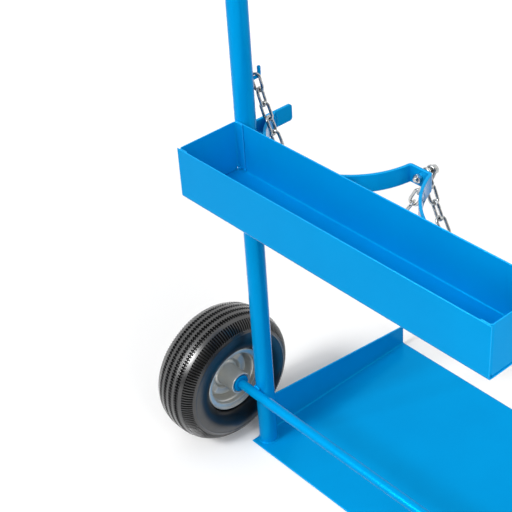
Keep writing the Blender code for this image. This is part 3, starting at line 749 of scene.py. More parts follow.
@dataclass(frozen=True)
class TubeFrame:
    """One bent tube: two uprights, each half the spacing from the middle, and the handle."""

    radius: float = 0.01685
    half: float = 0.301
    handle_height: float = 1.18
    handle_setback: float = 0.11
    bend_height: float = 0.98
    bend_radius: float = 0.09
    step: float = 0.012
    floor: float = 0.003
    weld: float = 0.0015
    ripple: float = 0.0028

    @property
    def rear(self) -> float:
        """The tray's rear face, which lies on the uprights."""
        return -(self.radius + SEAT_GAP)

    @property
    def outer(self) -> float:
        """Distance of an upright's outer side from the middle."""
        return self.half + self.radius

    def build(self) -> None:
        """The tube along its filleted path, and a weld round either foot."""
        back, top = -self.handle_setback, self.handle_height
        levels = ((0, self.floor + SEAT_GAP), (0, self.bend_height), (back, top))
        corners = [(-self.half, y, z) for y, z in levels] + [(self.half, y, z) for y, z in levels[::-1]]
        path = resampled(fillet(corners, self.bend_radius, 24), self.step)
        piece("frame_tube_skin", carried(path, circle(48, self.radius)), Coat.BLUE, nodes=("frame_tube",))
        around = circle(60, self.radius + 0.25 * self.weld)
        for side in Side:
            x = around[:, 0] + side.value * self.half
            loop = closed(grid(x, around[:, 1], self.floor + 0.3 * self.weld))
            piece("foot_weld_" + side.word, bead(loop, self.weld, self.ripple), Coat.BLUE)


@dataclass(frozen=True)
class BasePlate:
    """Base plate folded up into a tapered flange on either side."""

    sheet: float = 0.003
    bend: float = 0.003
    flange_start: float = 0.0185
    flange_height: float = 0.0828
    flange_end_height: float = 0.0445
    edge: float = 0.0009
    notch: float = 0.0006
    border: float = 0.0015
    below_top: float = 0.985

    def build(self) -> None:
        """The folded sheet as one plate, with a notch in front of either flange.

        Across, the surface runs down one flange, round its bend, over the floor and up the
        other side. In front of the flanges the bends are laid flat and the flanges left out.
        """
        low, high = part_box("base_plate")
        half_sheet, edge = self.sheet / 2, self.edge
        curl = self.bend + half_sheet
        wall = high.x - half_sheet
        up = np.insert(np.linspace(1.0, 0.0, 9), 1, self.below_top)
        turn = np.linspace(0.0, math.pi / 2, 9)[1:]
        floor = np.linspace(-(wall - curl), wall - curl, 41)[1:-1]
        zone = np.repeat([2, 1, 0, 1, 2], [len(up), len(turn), len(floor), len(turn), len(up)])[:, None]
        before = np.linspace(low.y + edge, self.flange_start - self.notch, 5)
        behind = spaced(self.flange_start + edge, high.y - edge, 30, self.border)
        y = np.concatenate([before[:1], before[:1] + self.border, before[1:], behind])
        share = (y - self.flange_start) / (high.y - self.flange_start)
        top = self.flange_height + (self.flange_end_height - self.flange_height) * share - edge
        lift = self.bend + self.sheet
        x_one = np.concatenate([np.full(len(up), -wall), -wall + curl - curl * np.cos(turn)])
        x = np.concatenate([x_one, floor, -x_one[::-1]])[:, None]
        bend_z = np.broadcast_to((half_sheet + curl - curl * np.sin(turn))[:, None], (len(turn), len(y)))
        z_one = np.concatenate([lift + (top[None] - lift) * up[:, None], bend_z])
        z = np.concatenate([z_one, np.full((len(floor), len(y)), half_sheet), z_one[::-1]])
        out_one = np.concatenate([np.ones(len(up)), 1.0 - np.arange(len(turn)) / len(turn)])
        out = np.concatenate([out_one, np.zeros(len(floor)), out_one[::-1]])[:, None]
        laid_x = np.sign(x) * (wall - curl + (curl + half_sheet - edge) * out)
        flat = y < self.flange_start
        laid = flat[None] & (zone > 0)
        surface = grid(np.where(laid, laid_x, x), y, np.where(laid, half_sheet, z))
        kept = np.maximum(zone[:-1], zone[1:]) < np.where(flat[:-1], np.where(flat[1:], 2, 1), 3)
        piece("base_plate_skin", plate(surface, self.sheet, edge, kept), Coat.BLUE, nodes=("base_plate",))


@dataclass(frozen=True)
class Tray:
    """Storage tray: a folded channel closed by an end panel with tabs on either side."""

    frame: TubeFrame
    sheet: float = 0.002
    bend: float = 0.003
    tab: float = 0.018
    edge: float = 0.0007
    upright_weld: float = 0.0026
    weld_inset: float = 0.0072
    weld_out: float = 0.0012
    weld_foot: float = 0.014
    weld_head: float = 0.012
    tab_weld: float = 0.00176
    tab_weld_inset: float = 0.006
    tab_weld_depths: tuple[float, float] = (0.0008, 0.0018)
    tab_weld_rises: tuple[float, float] = (-0.0020, 0.0030)
    tab_ripple: float = 0.0024

    def build(self) -> None:
        """The channel, both end panels and the welds on the uprights."""
        low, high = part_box("tray_channel")
        half, edge = self.sheet / 2, self.edge
        front, back, foot, top = low.y + half, high.y - half, low.z + half, high.z - edge
        fold = self.fold([(front, top), (front, foot), (back, foot), (back, top)])
        x = spaced(low.x + edge, high.x - edge, 40)
        channel = plate(grid(x[None], fold[:, :1], fold[:, 1:]), self.sheet, edge)
        piece("tray_channel_skin", channel, Coat.BLUE, nodes=("tray_channel",))
        beads = []
        for side in Side:
            self.build_end(side)
            x_near, y = side.value * (self.frame.half - self.weld_inset), high.y + self.weld_out
            line = [(x_near, y, low.z + self.weld_foot), (x_near, y, high.z - self.weld_head)]
            beads.append(bead(line, self.upright_weld))
        piece("tray_welds", Body.joined(beads), Coat.BLUE)

    def build_end(self, side: Side) -> None:
        """One end panel down to the channel's floor, with its tabs and small welds at their feet.

        Args:
            side: The end to build.
        """
        name = "tray_end_" + side.word
        low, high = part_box(name)
        low.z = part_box("tray_channel")[0].z + self.sheet + SEAT_GAP
        half, edge, sign = self.sheet / 2, self.edge, side.value
        face = high.x - half if sign > 0 else low.x + half
        tip = face + half * sign - sign * self.tab + sign * edge
        front, back = low.y + half, high.y - half
        fold = self.fold([(tip, front), (face, front), (face, back), (tip, back)])
        step = low.z + self.bend
        z = np.concatenate([[low.z + edge], spaced(step + edge, high.z - edge, 12)])
        surface = grid(fold[:, :1], fold[:, 1:], z[None])
        flat = np.abs(fold[:, 1] - (low.y + high.y) / 2) < (high.y - low.y) / 2 - self.sheet - self.bend
        kept = (z[:-1] > step)[None] | (flat[:-1] & flat[1:])[:, None]
        piece(name + "_skin", plate(surface, self.sheet, edge, kept), Coat.BLUE, nodes=(name,))
        beads = []
        for y, toward in ((low.y, 1), (high.y, -1)):
            for x, depth in zip((tip, face - sign * self.tab_weld_inset), self.tab_weld_depths):
                line = [(x, y + toward * depth, step + rise) for rise in self.tab_weld_rises]
                beads.append(bead(line, self.tab_weld, self.tab_ripple))
        piece(name + "_welds", Body.joined(beads), Coat.BLUE)

    def fold(self, corners: Sequence[Sequence[float]]) -> Array:
        """A line folded at its corners, with more points near its ends and along its straight runs.

        Args:
            corners: The corners of the sheet's middle line.

        Returns:
            The points of the line.
        """
        line = fillet(corners, self.bend + self.sheet / 2)
        run = lengths(line)
        inner = spaced(BORDER, run[-1] - BORDER, 40, 0.003)
        return at_lengths(line, np.unique(np.round(np.concatenate([run, inner]), 6)))


@dataclass(frozen=True)
class Saddle:
    """Flat bar bent into a left and a right bay with a nose between them, and an ear on either side."""

    frame: TubeFrame
    bar: float = 0.005
    height: float = 0.030
    top: float = 0.650
    radii: tuple[float, float] = (0.1341, 0.1795)
    centres: tuple[float, float] = (-0.1905, 0.158)
    nose_reach: float = 0.1085
    nose_bend: float = 0.0018
    step: float = 0.001
    ear_reach: float = 0.1125
    ear_corner: float = 0.006
    edge: float = 0.0010
    weld: float = 0.0024
    weld_margin: float = 0.003
    weld_half: float = 0.02
    weld_shift: float = 0.0006
    bar_weld: float = 0.0034
    bar_weld_insets: tuple[float, float] = (0.0012, 0.0040)
    ear_weld: float = 0.0062
    tray_weld_out: float = 0.0018

    @property
    def middle(self) -> float:
        """Height of the bar's middle line."""
        return self.top - self.height / 2

    def bay(self, side: Side) -> Array:
        """Plan of one bay's middle line, an arc from the upright to the nose.

        Args:
            side: The bay to draw.

        Returns:
            Points (x, y) from the upright's outer side to the nose's end.
        """
        radius, centre = self.radii[side is Side.RIGHT], self.centres[side is Side.RIGHT]
        line = radius + self.bar / 2
        centre_y = self.frame.rear + SEAT_GAP + radius + self.bar
        to_ear = math.asin((self.frame.outer - side.value * centre) / line)
        to_nose = math.acos((centre_y - self.nose_reach) / line)
        angle = -math.pi / 2 + side.value * np.linspace(to_ear, -to_nose, 80)
        return np.stack([centre + line * np.cos(angle), centre_y + line * np.sin(angle)], axis=1)

    def nose(self) -> Array:
        """Middle of the nose in plan, between the inner ends of both bays."""
        return (self.bay(Side.LEFT)[-1] + self.bay(Side.RIGHT)[-1]) / 2

    def build(self) -> None:
        """The bent bar, both ears and the welds on the uprights and the tray."""
        left, right = self.bay(Side.LEFT), self.bay(Side.RIGHT)
        plan = resampled(np.concatenate([left, right[::-1]]), self.step)
        plan = softened(plan, self.nose_bend, self.step)
        foot = self.top - self.height
        z = spaced(foot + self.edge, self.top - self.edge, 5)
        bar = plate(grid(plan[:, :1], plan[:, 1:], z[None]), self.bar, self.edge)
        piece("saddle_bar_skin", bar, Coat.BLUE, nodes=("saddle_bar",))
        lines = []
        for side, end in ((Side.LEFT, left[0, 1]), (Side.RIGHT, right[0, 1])):
            self.build_ear(side)
            on_bar = zip(self.bar_weld_insets, (end + self.bar_weld, end - self.bar_weld))
            on_ear = ((self.weld_shift, -self.ear_weld), (self.weld_shift, self.ear_weld))
            for inset, y in (*on_bar, *on_ear):
                x = side.value * (self.frame.outer - inset)
                lines.append([(x, y, foot + self.weld_margin), (x, y, self.top - self.weld_margin)])
        for centre in self.centres:
            for level in (self.top + self.weld_shift, foot - self.weld_shift):
                y, reach = self.frame.rear + self.tray_weld_out, self.weld_half
                lines.append([(centre - reach, y, level), (centre + reach, y, level)])
        piece("saddle_welds", Body.joined([bead(line, self.weld) for line in lines]), Coat.BLUE)

    def build_ear(self, side: Side) -> None:
        """One ear plate, its two free corners rounded.

        Half the height at a distance s from the free end is
        h / 2 - c + sqrt(c^2 - (c - s)^2) within the corner radius c.

        Args:
            side: The ear to build.
        """
        edge, corner = self.edge, self.ear_corner - self.edge
        start, end = -self.frame.radius + edge, self.ear_reach - edge
        bend = corner * (1 - np.cos(np.linspace(0.0, math.pi / 2, 10)))
        straight = np.linspace(start + BORDER, end - corner, 24)[:-1]
        y = np.concatenate([[start], straight, end - bend[::-1]])
        inset = np.clip(corner - (end - y), 0.0, corner)
        half = self.height / 2 - edge - corner + np.sqrt(corner**2 - inset**2)
        share = spaced(-1.0, 1.0, 7, 0.07)
        x = side.value * (self.frame.outer + SEAT_GAP + self.bar / 2)
        surface = grid(x, y[:, None], self.middle + half[:, None] * share)
        name = "saddle_ear_" + side.word
        piece(name + "_skin", plate(surface, self.bar, edge), Coat.BLUE, nodes=(name,))


@dataclass(frozen=True)
class ChainGear:
    """Chain hooks, the bolt through the nose and both retaining chains."""

    frame: TubeFrame
    saddle: Saddle
    rod: float = 0.006
    hook_height: float = 0.7375
    hook_reach: float = 0.0167
    hook_rise: float = 0.0165
    hook_bend: float = 0.004
    hook_step: float = 0.0006
    hook_root: float = 0.001
    hook_tip: float = 0.0012
    hook_end: float = 0.72
    hook_weld: float = 0.0016
    hook_weld_out: float = 0.0006
    hook_weld_lift: float = 0.0002
    hook_ripple: float = 0.002
    bolt: float = 0.008
    flats: float = 0.013
    head: float = 0.0053
    nut: float = 0.0065
    lock_nut: float = 0.006
    thread_pitch: float = 0.00125
    thread_depth: float = 0.075
    thread_past: float = 0.003
    thread_end: float = 0.004
    point: float = 0.001
    point_drop: float = 0.2
    plain_shank: float = 0.985
    in_head: float = 0.0005
    nut_bore: float = 1.02
    wire: float = 0.005
    step: float = 0.02478060
    width: float = 0.019
    bite: float = 0.0003
    end_gap: float = 0.0007
    side_gap: float = 0.0014
    spread: float = 0.0045
    links: int = 21
    end_turn: int = 3

    @property
    def breadth(self) -> float:
        """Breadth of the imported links' wire across its corners."""
        return self.wire / math.cos(math.pi / 6)

    def stack(self) -> tuple[float, float, float, float]:
        """What the bolt carries behind the nose.

        Returns:
            Distances from the nose's middle to the lock nut, both end links and the bolt's head.
        """
        near = self.saddle.bar / 2 + SEAT_GAP
        right = near + self.lock_nut + self.side_gap + self.breadth / 2
        left = right + self.breadth + self.spread
        return near, right, left, left + self.breadth / 2 + self.side_gap

    def build(self) -> None:
        """Everything that holds the cylinders back."""
        self.build_hooks()
        self.build_bolt()
        for side in Side:
            name = "chain_" + side.word
            links = self.linked(self.bearings(side))
            piece(name + "_links", links, Coat.ZINC, rides=name, nodes=(name,))

    def build_hooks(self) -> None:
        """Bent rods on the far side of the uprights, tapered at their tips, each with a weld at its root."""
        radius, height = self.frame.radius, self.hook_height
        prong = radius + self.hook_reach
        for side in Side:
            name = "chain_hook_" + side.word
            x = side.value * self.frame.half
            line = ((radius - self.hook_root, height), (prong, height), (prong, height + self.hook_rise))
            path = resampled(fillet([(x, y, z) for y, z in line], self.hook_bend), self.hook_step)
            left = np.linalg.norm(path - path[-1], axis=1)
            scale = self.hook_end + (1 - self.hook_end) * np.sqrt(np.clip(left / self.hook_tip, 0.0, 1.0))
            piece(name + "_skin", carried(path, circle(24, self.rod / 2), scale), Coat.BLUE, nodes=(name,))
            around = circle(40, self.rod / 2 + self.hook_weld_out)
            loop = closed(grid(x + around[:, 0], radius + self.hook_weld_lift, height + around[:, 1]))
            piece(name + "_weld", bead(loop, self.hook_weld, self.hook_ripple), Coat.BLUE)

    def build_bolt(self) -> None:
        """Hexagon bolt with a nut on either side of the nose.

        The thread's factor on the shank is 1 - depth (0.5 + 0.5 cos(2 pi s / pitch)). It ends a
        little past the lock nut, and the point tapers evenly.
        """
        lying = Matrix(((1, 0, 0), (0, 0, -1), (0, 1, 0))).to_4x4()
        at = Matrix.Translation((*self.saddle.nose(), self.saddle.middle)) @ lying
        near, _, _, head = self.stack()
        end = near + self.nut + self.thread_end
        run = np.linspace(-head - self.in_head, end, 260)
        worm = 1.0 - self.thread_depth * (0.5 + 0.5 * np.cos(2 * math.pi * run / self.thread_pitch))
        worm = np.where(run < -near - self.lock_nut - self.thread_past, self.plain_shank, worm)
        worm *= np.clip(1.0 - self.point_drop * (1.0 - (end - run) / self.point), 0.0, 1.0)
        shank = carried(grid(0.0, 0.0, run), circle(32, self.bolt / 2), worm)
        bore = self.bolt / 2 * self.nut_bore
        for name, body in (
            ("chain_bolt", Body.joined([shank, hexagon(self.flats, -head - self.head, -head)])),
            ("chain_nut", hexagon(self.flats, near, near + self.nut, bore)),
            ("chain_lock_nut", hexagon(self.flats, -near - self.lock_nut, -near, bore)),
        ):
            piece(name + "_body", body.moved(at), Coat.ZINC, nodes=(name,))

    def hanging(self, start: Array, end: Array) -> Array:
        """Points at equal steps along a chain that hangs between two ends.

        The curve is the catenary sag cosh(u), and its sag value is found by halving.

        Args:
            start: The first bearing point.
            end: The last one.

        Returns:
            The bearing points of all links.
        """
        length = self.links * self.step
        across = (end - start) * (1.0, 1.0, 0.0)
        span, drop = float(np.linalg.norm(across)), float(end[2] - start[2])
        slack = math.sqrt(length**2 - drop**2)
        low, high = span / 40, span * 40
        for _ in range(80):
            sag = math.sqrt(low * high)
            too_long = 2 * sag * math.sinh(span / (2 * sag)) > slack
            low, high = (sag, high) if too_long else (low, sag)
        first = math.atanh(drop / length) - span / (2 * sag)
        run = length * np.arange(self.links + 1) / self.links
        u = np.arcsinh(math.sinh(first) + run / sag)
        points = start + across * ((u - first) * sag / span)[:, None]
        points[:, 2] += sag * (np.cosh(u) - math.cosh(first))
        return points

    def bearings(self, side: Side) -> Array:
        """Bearing points of one chain, from its hook to the bolt.

        The ends lie beside the hook and the bolt along the end links, whose direction
        follows from the ends, so both are worked out in turn.

        Args:
            side: The chain's side.

        Returns:
            The points where the links bear on each other, both ends included.
        """
        prong = self.frame.radius + self.hook_reach
        beside = prong - self.rod / 2 - self.side_gap - self.breadth / 2
        rod = np.array([side.value * self.frame.half, beside, self.hook_height])
        _, right, left, _ = self.stack()
        x, y = self.saddle.nose()
        bolt = np.array([x, y + (right if side is Side.RIGHT else left), self.saddle.middle])
        start, end = rod, bolt
        for _ in range(6):
            points = self.hanging(start, end)
            first, last = unit(points[1] - points[0]), unit(points[-1] - points[-2])
            start = rod - first * (self.rod / 2 + self.end_gap + self.bite / 2)
            end = bolt + last * (self.bolt / 2 + self.end_gap + self.bite / 2)
        return points

    def link(self) -> Body:
        """One link in local XY, long along X: a round wire round a stadium of two half circles.

        Returns:
            The closed ring of wire.
        """
        bend = (self.width - self.wire) / 2
        straight = (self.step + self.wire) / 2 - bend
        angle = np.linspace(-math.pi / 2, math.pi / 2, 13)
        arc = grid(straight + bend * np.cos(angle), bend * np.sin(angle), 0.0)
        side = np.array([[0.0, bend, 0.0]])
        path = np.concatenate([arc, side, arc * (-1.0, -1.0, 1.0), -side])
        return carried(path, circle(12, self.wire / 2), looped=True)

    def linked(self, points: Array) -> Body:
        """All links of a chain, each turned a quarter against the one before.

        Towards the bolt the links turn from the chain's heading to stand square to it.

        Args:
            points: The bearing points.

        Returns:
            The links as one body of interlocked shells.
        """
        across = points[-1] - points[0]
        heading = math.atan2(across[1], across[0])
        straight = 0.0 if across[0] > 0 else math.pi
        link = self.link()
        made = []
        for index, (near, far) in enumerate(zip(points, points[1:])):
            along = unit(far - near)
            share = min(1.0, (self.links - 1 - index) / self.end_turn)
            turn = straight + (heading - straight) * share
            level = np.array([-math.sin(turn), math.cos(turn), 0.0])
            normal = unit(level - along * (level @ along))
            upright = np.cross(normal, along)
            sideways, out = (upright, normal) if index % 2 == 0 else (normal, -upright)
            matrix = Matrix(np.stack([along, sideways, out], axis=1).tolist()).to_4x4()
            matrix.translation = Vector(((near + far) / 2).tolist())
            made.append(link.moved(matrix))
        return Body.joined(made)


@dataclass(frozen=True)
class Axle:
    """Axle bar behind the uprights, with what keeps the wheels on it."""

    frame: TubeFrame
    radius: float = 0.0089
    height: float = 0.129
    edge: float = 0.0010
    ring_edge: float = 0.0007
    pin_wire: float = 0.0032
    pin_ring: float = 0.0048
    pin_step: float = 0.0004
    pin_bend: float = 0.0009
    pin_leg: float = 0.002
    pin_tail: float = 0.005
    weld: float = 0.0023
    weld_half: float = 0.007
    weld_rise: float = 0.0066
    weld_depth: float = 0.0011

    @property
    def y(self) -> float:
        """Place of the bar's axis behind the uprights."""
        return -(self.frame.radius + self.radius + SEAT_GAP)

    def build(self) -> None:
        """The bar, its welds, collars, washers and split pins."""
        low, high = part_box("axle")
        inner = np.linspace(low.x, high.x, 40)[1:-1]
        x = np.concatenate([[low.x, low.x + self.edge], inner, [high.x - self.edge, high.x]])
        scale = np.where((x == low.x) | (x == high.x), 1 - self.edge / self.radius, 1.0)
        bar = carried(grid(x, self.y, self.height), circle(40, self.radius), scale)
        piece("axle_bar", bar, Coat.BLUE, nodes=("axle",))
        beads = []
        for side in Side:
            centre, y = side.value * self.frame.half, -self.frame.radius - self.weld_depth
            left, right = centre - self.weld_half, centre + self.weld_half
            for z in (self.height + self.weld_rise, self.height - self.weld_rise):
                beads.append(bead([(left, y, z), (right, y, z)], self.weld))
            self.build_ring("axle_collar_" + side.word, self.radius, Coat.BLUE)
            self.build_ring("axle_washer_" + side.word, self.radius + SEAT_GAP, Coat.ZINC)
            self.build_pin(side)
        piece("axle_welds", Body.joined(beads), Coat.BLUE)

    def build_ring(self, node: str, bore: float, coat: Coat) -> None:
        """A collar or washer on the bar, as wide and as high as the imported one.

        Args:
            node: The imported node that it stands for.
            bore: Radius of its hole.
            coat: Its finish.
        """
        low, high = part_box(node)
        half = (high.x - low.x) / 2
        section = ring(bore, (high.z - low.z) / 2, -half, half, self.ring_edge)
        turn = Matrix.Rotation(math.pi / 2, 4, "Y")
        at = Matrix.Translation(((low.x + high.x) / 2, self.y, self.height)) @ turn
        piece(node + "_ring", turned(section, 64).moved(at), coat, nodes=(node,))

    def build_pin(self, side: Side) -> None:
        """A split pin: one wire bent into an eye and two legs, whose tails are spread.

        Args:
            side: The axle's end.
        """
        name = "split_pin_" + side.word
        low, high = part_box(name)
        wire = self.pin_wire / 2
        centre, eye = high.z - self.pin_ring - wire, self.pin_ring + wire / 2
        angle = np.linspace(-0.42 * math.pi, 1.42 * math.pi, 40)
        loop = np.stack([eye * np.cos(angle), centre + eye * np.sin(angle)], axis=1)
        below = self.height - self.radius
        straight = [(0.5 * wire, centre - 1.25 * eye), (0.5 * wire, below - self.pin_leg)]
        leg = np.array([*straight, (2.4 * wire, below - self.pin_tail), (3.0 * wire, low.z + wire)])
        outline = np.concatenate([leg[::-1], loop, leg * (-1.0, 1.0)])
        path = grid((low.x + high.x) / 2, self.y + outline[:, 0], outline[:, 1])
        path = softened(resampled(path, self.pin_step), self.pin_bend, self.pin_step)
        piece(name + "_wire", carried(path, circle(12, 0.52 * wire)), Coat.ZINC, nodes=(name,))


@dataclass(frozen=True)
class Wheel:
    """Pneumatic tyre on a pressed two-piece rim with a tube hub."""

    side: Side
    track: float = 0.773
    axle_y: float = -0.02605
    tyre_radius: float = 0.129
    tyre_half: float = 0.050
    widest: float = 0.088
    fullness: float = 0.8
    bead_width: float = 0.0088
    lip_radius: float = 0.0622
    lip_offset: float = 0.0345
    seat_radius: float = 0.0515
    rim_sheet: float = 0.002
    rim_edge: float = 0.0007
    rim_bend: float = 0.0009
    web: float = 0.003
    low_pressing: float = 0.0015
    pressing: float = 0.009
    hub_radius: float = 0.0205
    hub_bore: float = 0.018
    hub_inner: float = 0.0505
    hub_outer: float = 0.030
    hub_edge: float = 0.0008
    bearing: float = 0.011
    bearing_bore: float = 0.0091
    bearing_inset: float = 0.003
    race_inner: float = 0.0022
    race_outer: float = 0.0019
    seal_slope: float = 0.0002
    seal_depth: float = 0.0007
    teeth: int = 144
    tooth_steps: int = 6
    tread_end: float = 33.0
    groove: float = 0.0036
    groove_narrow: float = 0.0009
    groove_wide: float = 0.0040
    groove_wall: float = 0.0008
    grooves: tuple[float, ...] = (-0.0208, -0.0068, 0.0068, 0.0208)
    notch: float = 0.0030
    ribs: tuple[float, float] = (34.2, 66.0)
    rib_slopes: tuple[float, float] = (1.6, 1.5)
    rings: tuple[tuple[float, float, float], ...] = ((73.6, 0.9, 0.0006), (161.5, 2.5, 0.00048))
    # Painted shade on the sidewall towards the rim: strength, start angle and spread.
    dull: float = 0.65
    painted_shade_from: float = 82.0
    painted_shade_over: float = 16.0
    crown_offset: float = 0.0020
    cavity: tuple[tuple[float, float], ...] = ((0.0825, 0.0445), (0.1066, 0.0445), (0.119, 0.0245))
    lobes: int = 3
    lobe_angle: float = 7.0
    lobe_width: float = 66.0
    lobe_slope: float = 11.0
    valve: float = 0.004
    valve_tilt: float = 48.0
    valve_angle: float = 125.0
    facets: int = 24
    cap_ribs: int = 14

    @property
    def bead_radius(self) -> float:
        """Radius of the tyre's foot on the rim's seat."""
        return self.seat_radius + self.rim_sheet + SEAT_GAP

    @property
    def bead_face(self) -> float:
        """Offset of the tyre's foot where it meets the rim's flange."""
        return self.lip_offset - 2 * self.rim_sheet - SEAT_GAP

    @property
    def lip_top(self) -> float:
        """Radius at which the tyre leaves the rim's lip."""
        return self.lip_radius + self.rim_sheet

    def add(self, name: str, body: Body, coat: Coat, node: str, sharp: float = 40.0) -> None:
        """Places one body of the wheel and lets it ride on it.

        Local Z runs outwards along the axle from the tyre's middle plane.

        Args:
            name: The piece's name without its side.
            body: Its points and faces.
            coat: Its finish.
            node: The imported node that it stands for, without its side.
            sharp: Angle in degrees from which an edge is shaded sharp.
        """
        word, sign = "_" + self.side.word, self.side.value
        turn = Matrix.Rotation(sign * math.pi / 2, 4, "Y")
        at = Matrix.Translation((sign * self.track / 2, self.axle_y, self.tyre_radius)) @ turn
        piece(name + word, body.moved(at), coat, "wheel" + word, (node + word,), sharp)

    def build(self) -> None:
        """Tyre, rim halves, hub, bearings and valve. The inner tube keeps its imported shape."""
        loops, painted_light_marks = self.tyre_loops()
        self.add("tyre_tread", turned(loops, painted_light_marks=painted_light_marks), Coat.TYRE, "tyre", 50.0)
        for name, direction in (("rim_inner", -1), ("rim_outer", 1)):
            self.add(name + "_dish", self.rim(direction), Coat.RIM, name)
        hub = ring(self.hub_bore, self.hub_radius, -self.hub_inner, self.hub_outer, self.hub_edge)
        self.add("hub_tube", turned(hub), Coat.RIM, "hub")
        inner, outer = self.bearing_inset - self.hub_inner, self.hub_outer - self.bearing - RUNNING_GAP
        for name, low in (("bearing_inner", inner), ("bearing_outer", outer)):
            self.add(name + "_race", turned(self.race(low)), Coat.BEARING, name)
        self.build_valve()
        coats = bpy.data.objects["inner_tube_" + self.side.word].data.materials
        coats.clear()
        coats.append(Coat.RUBBER.value.material())

    def contour(self) -> tuple[Array, Array]:
        """One side of the tyre's outer contour, from the bead's foot to the crown.

        The sidewall is a quarter ellipse from the rim's lip to the widest point, and the
        tread above it a superellipse: r = w + (R - w) cos(a)^f, h = W sin(a)^f, with the
        fullness f. Points stand close together where rings, ribs and grooves begin and end.

        Returns:
            Points (radius, offset) and, for each, the angle a from the crown in
            degrees, which is over 90 on the sidewall.
        """
        half, lip_side = self.tyre_half, self.lip_offset - self.rim_sheet / 2
        foot = np.array([(self.bead_radius, self.bead_face), (self.lip_radius, self.bead_face)])
        rise = np.radians(np.concatenate([[0, 10, 14.5, 18.5, 22.5, 30], np.linspace(42, 84, 4)]))
        radius = self.widest - (self.widest - self.lip_top) * np.cos(rise)
        wall = np.stack([radius, lip_side + (half - lip_side) * np.sin(rise)], axis=1)
        edges = [87, 81, 76, 74.8, 73.6, 72.4, 70, 67, 66, 64.5]
        shoulder = np.concatenate([edges, np.linspace(61, 39, 6), [35.8, 34.2, self.tread_end]])
        flat = half * math.sin(math.radians(self.tread_end)) ** self.fullness
        slope = np.array([0.5, -0.5]) * self.groove_wall
        walls = np.add.outer([self.groove_wide, self.groove_narrow], slope).ravel()
        across = np.concatenate([walls, [0.0], -walls[::-1]])
        offsets = np.concatenate([centre + across for centre in self.grooves[:1:-1]])
        offsets = np.sort([(flat + offsets[0]) / 2, *offsets, self.crown_offset])[::-1]
        angle = np.concatenate([shoulder, np.degrees(np.arcsin((offsets / half) ** (1 / self.fullness)))])
        a = np.radians(angle)
        radius = self.widest + (self.tyre_radius - self.widest) * np.cos(a) ** self.fullness
        crown = np.stack([radius, half * np.sin(a) ** self.fullness], axis=1)
        angles = np.concatenate([[200.0, 190.0], 180.0 - np.degrees(rise), angle])
        return np.concatenate([foot, wall, crown]), angles

    def tyre_loops(self) -> tuple[Array, Array]:
        """The tyre's section at each angle round the wheel, sunk along its normals by the tread.

        Each tooth has a notch of half its length. The grooves are 1.8 mm wide and widen by
        3.1 mm on either side at a notch, the shoulder has ribs between 35 and 65 degrees
        from the crown, and thin raised rings run round the sidewall, each with the bell
        height exp(-((a - middle) / breadth)^2).

        Returns:
            Loops of (radius, offset), one for each angle, and painted-shade marks that are 1 in the grooves
            and rise on the sidewall towards the rim, where the rubber is painted darker and is duller.
        """
        one, angles = self.contour()
        outside = np.concatenate([one, one[::-1] * (1.0, -1.0)])
        angle = np.concatenate([angles, angles[::-1]])
        along = unit(np.gradient(outside, axis=0))
        normal = np.stack([-along[:, 1], along[:, 0]], axis=1)
        phase = np.arange(self.teeth * self.tooth_steps) / self.tooth_steps % 1.0
        notch = np.where((phase > 0.1) & (phase < 0.6), 1.0, 0.0)[:, None]
        depth = np.zeros((len(phase), len(outside)))
        for index, centre in enumerate(self.grooves):
            shifted = np.roll(notch, index % 2 * self.tooth_steps // 2, axis=0)
            room = self.groove_narrow + (self.groove_wide - self.groove_narrow) * shifted
            inside = smooth((room - np.abs(outside[:, 1] - centre)) / self.groove_wall + 0.5)
            depth = np.maximum(depth, self.groove * inside * (angle < self.tread_end + 0.5))
        (start, end), (rise, fall) = self.ribs, self.rib_slopes
        depth += self.notch * notch * smooth((angle - start) / rise) * smooth((end - angle) / fall)
        # Painted shade, darker and duller rubber, rising towards the rim.
        painted_rim_shade = self.dull * smooth((angle - self.painted_shade_from) / self.painted_shade_over)
        painted_light_marks = np.maximum(np.clip(depth / self.notch, 0.0, 1.0), painted_rim_shade)
        for middle, breadth, height in self.rings:
            depth -= height * np.exp(-(((angle - middle) / breadth) ** 2))
        skin = outside - depth[..., None] * normal
        toe = self.bead_face - self.bead_width
        hollow = [(self.bead_radius, toe), (self.lip_top, toe), *self.cavity]
        lining = np.concatenate([np.array(hollow) * (1.0, -1.0), hollow[::-1]])
        loops = np.concatenate([skin, np.broadcast_to(lining, (len(phase), *lining.shape))], axis=1)
        return loops, np.pad(painted_light_marks, ((0, 0), (0, len(lining))))

    def rim(self, direction: int) -> Body:
        """One rim half: a dish from the rolled lip over stepped rings to the neck on the hub.

        The dish lies between a low and a high profile, and runs from one to the other by
        a lobe that rises and falls smoothly round the wheel.

        Args:
            direction: -1 for the half that faces the frame and 1 for the other.

        Returns:
            The closed sheet.
        """
        low, high = self.dish(self.low_pressing), self.dish(self.pressing)
        angle = np.linspace(0.0, 360.0, 180, endpoint=False)
        pitch, sign = 360.0 / self.lobes, self.side.value
        start = self.lobe_angle if self.side is Side.LEFT else 180.0 - self.lobe_angle
        away = np.abs((sign * (angle - 90.0) - start + pitch / 2) % pitch - pitch / 2)
        lobe = smooth((self.lobe_width / 2 - away) / self.lobe_slope + 0.5)[:, None, None]
        profile = low + (high - low) * lobe
        radius, turn = profile[..., 0], np.radians(angle)[:, None]
        surface = grid(radius * np.cos(turn), radius * np.sin(turn), direction * profile[..., 1])
        return plate(surface, 0.9 * self.rim_sheet, self.rim_edge, around=True)

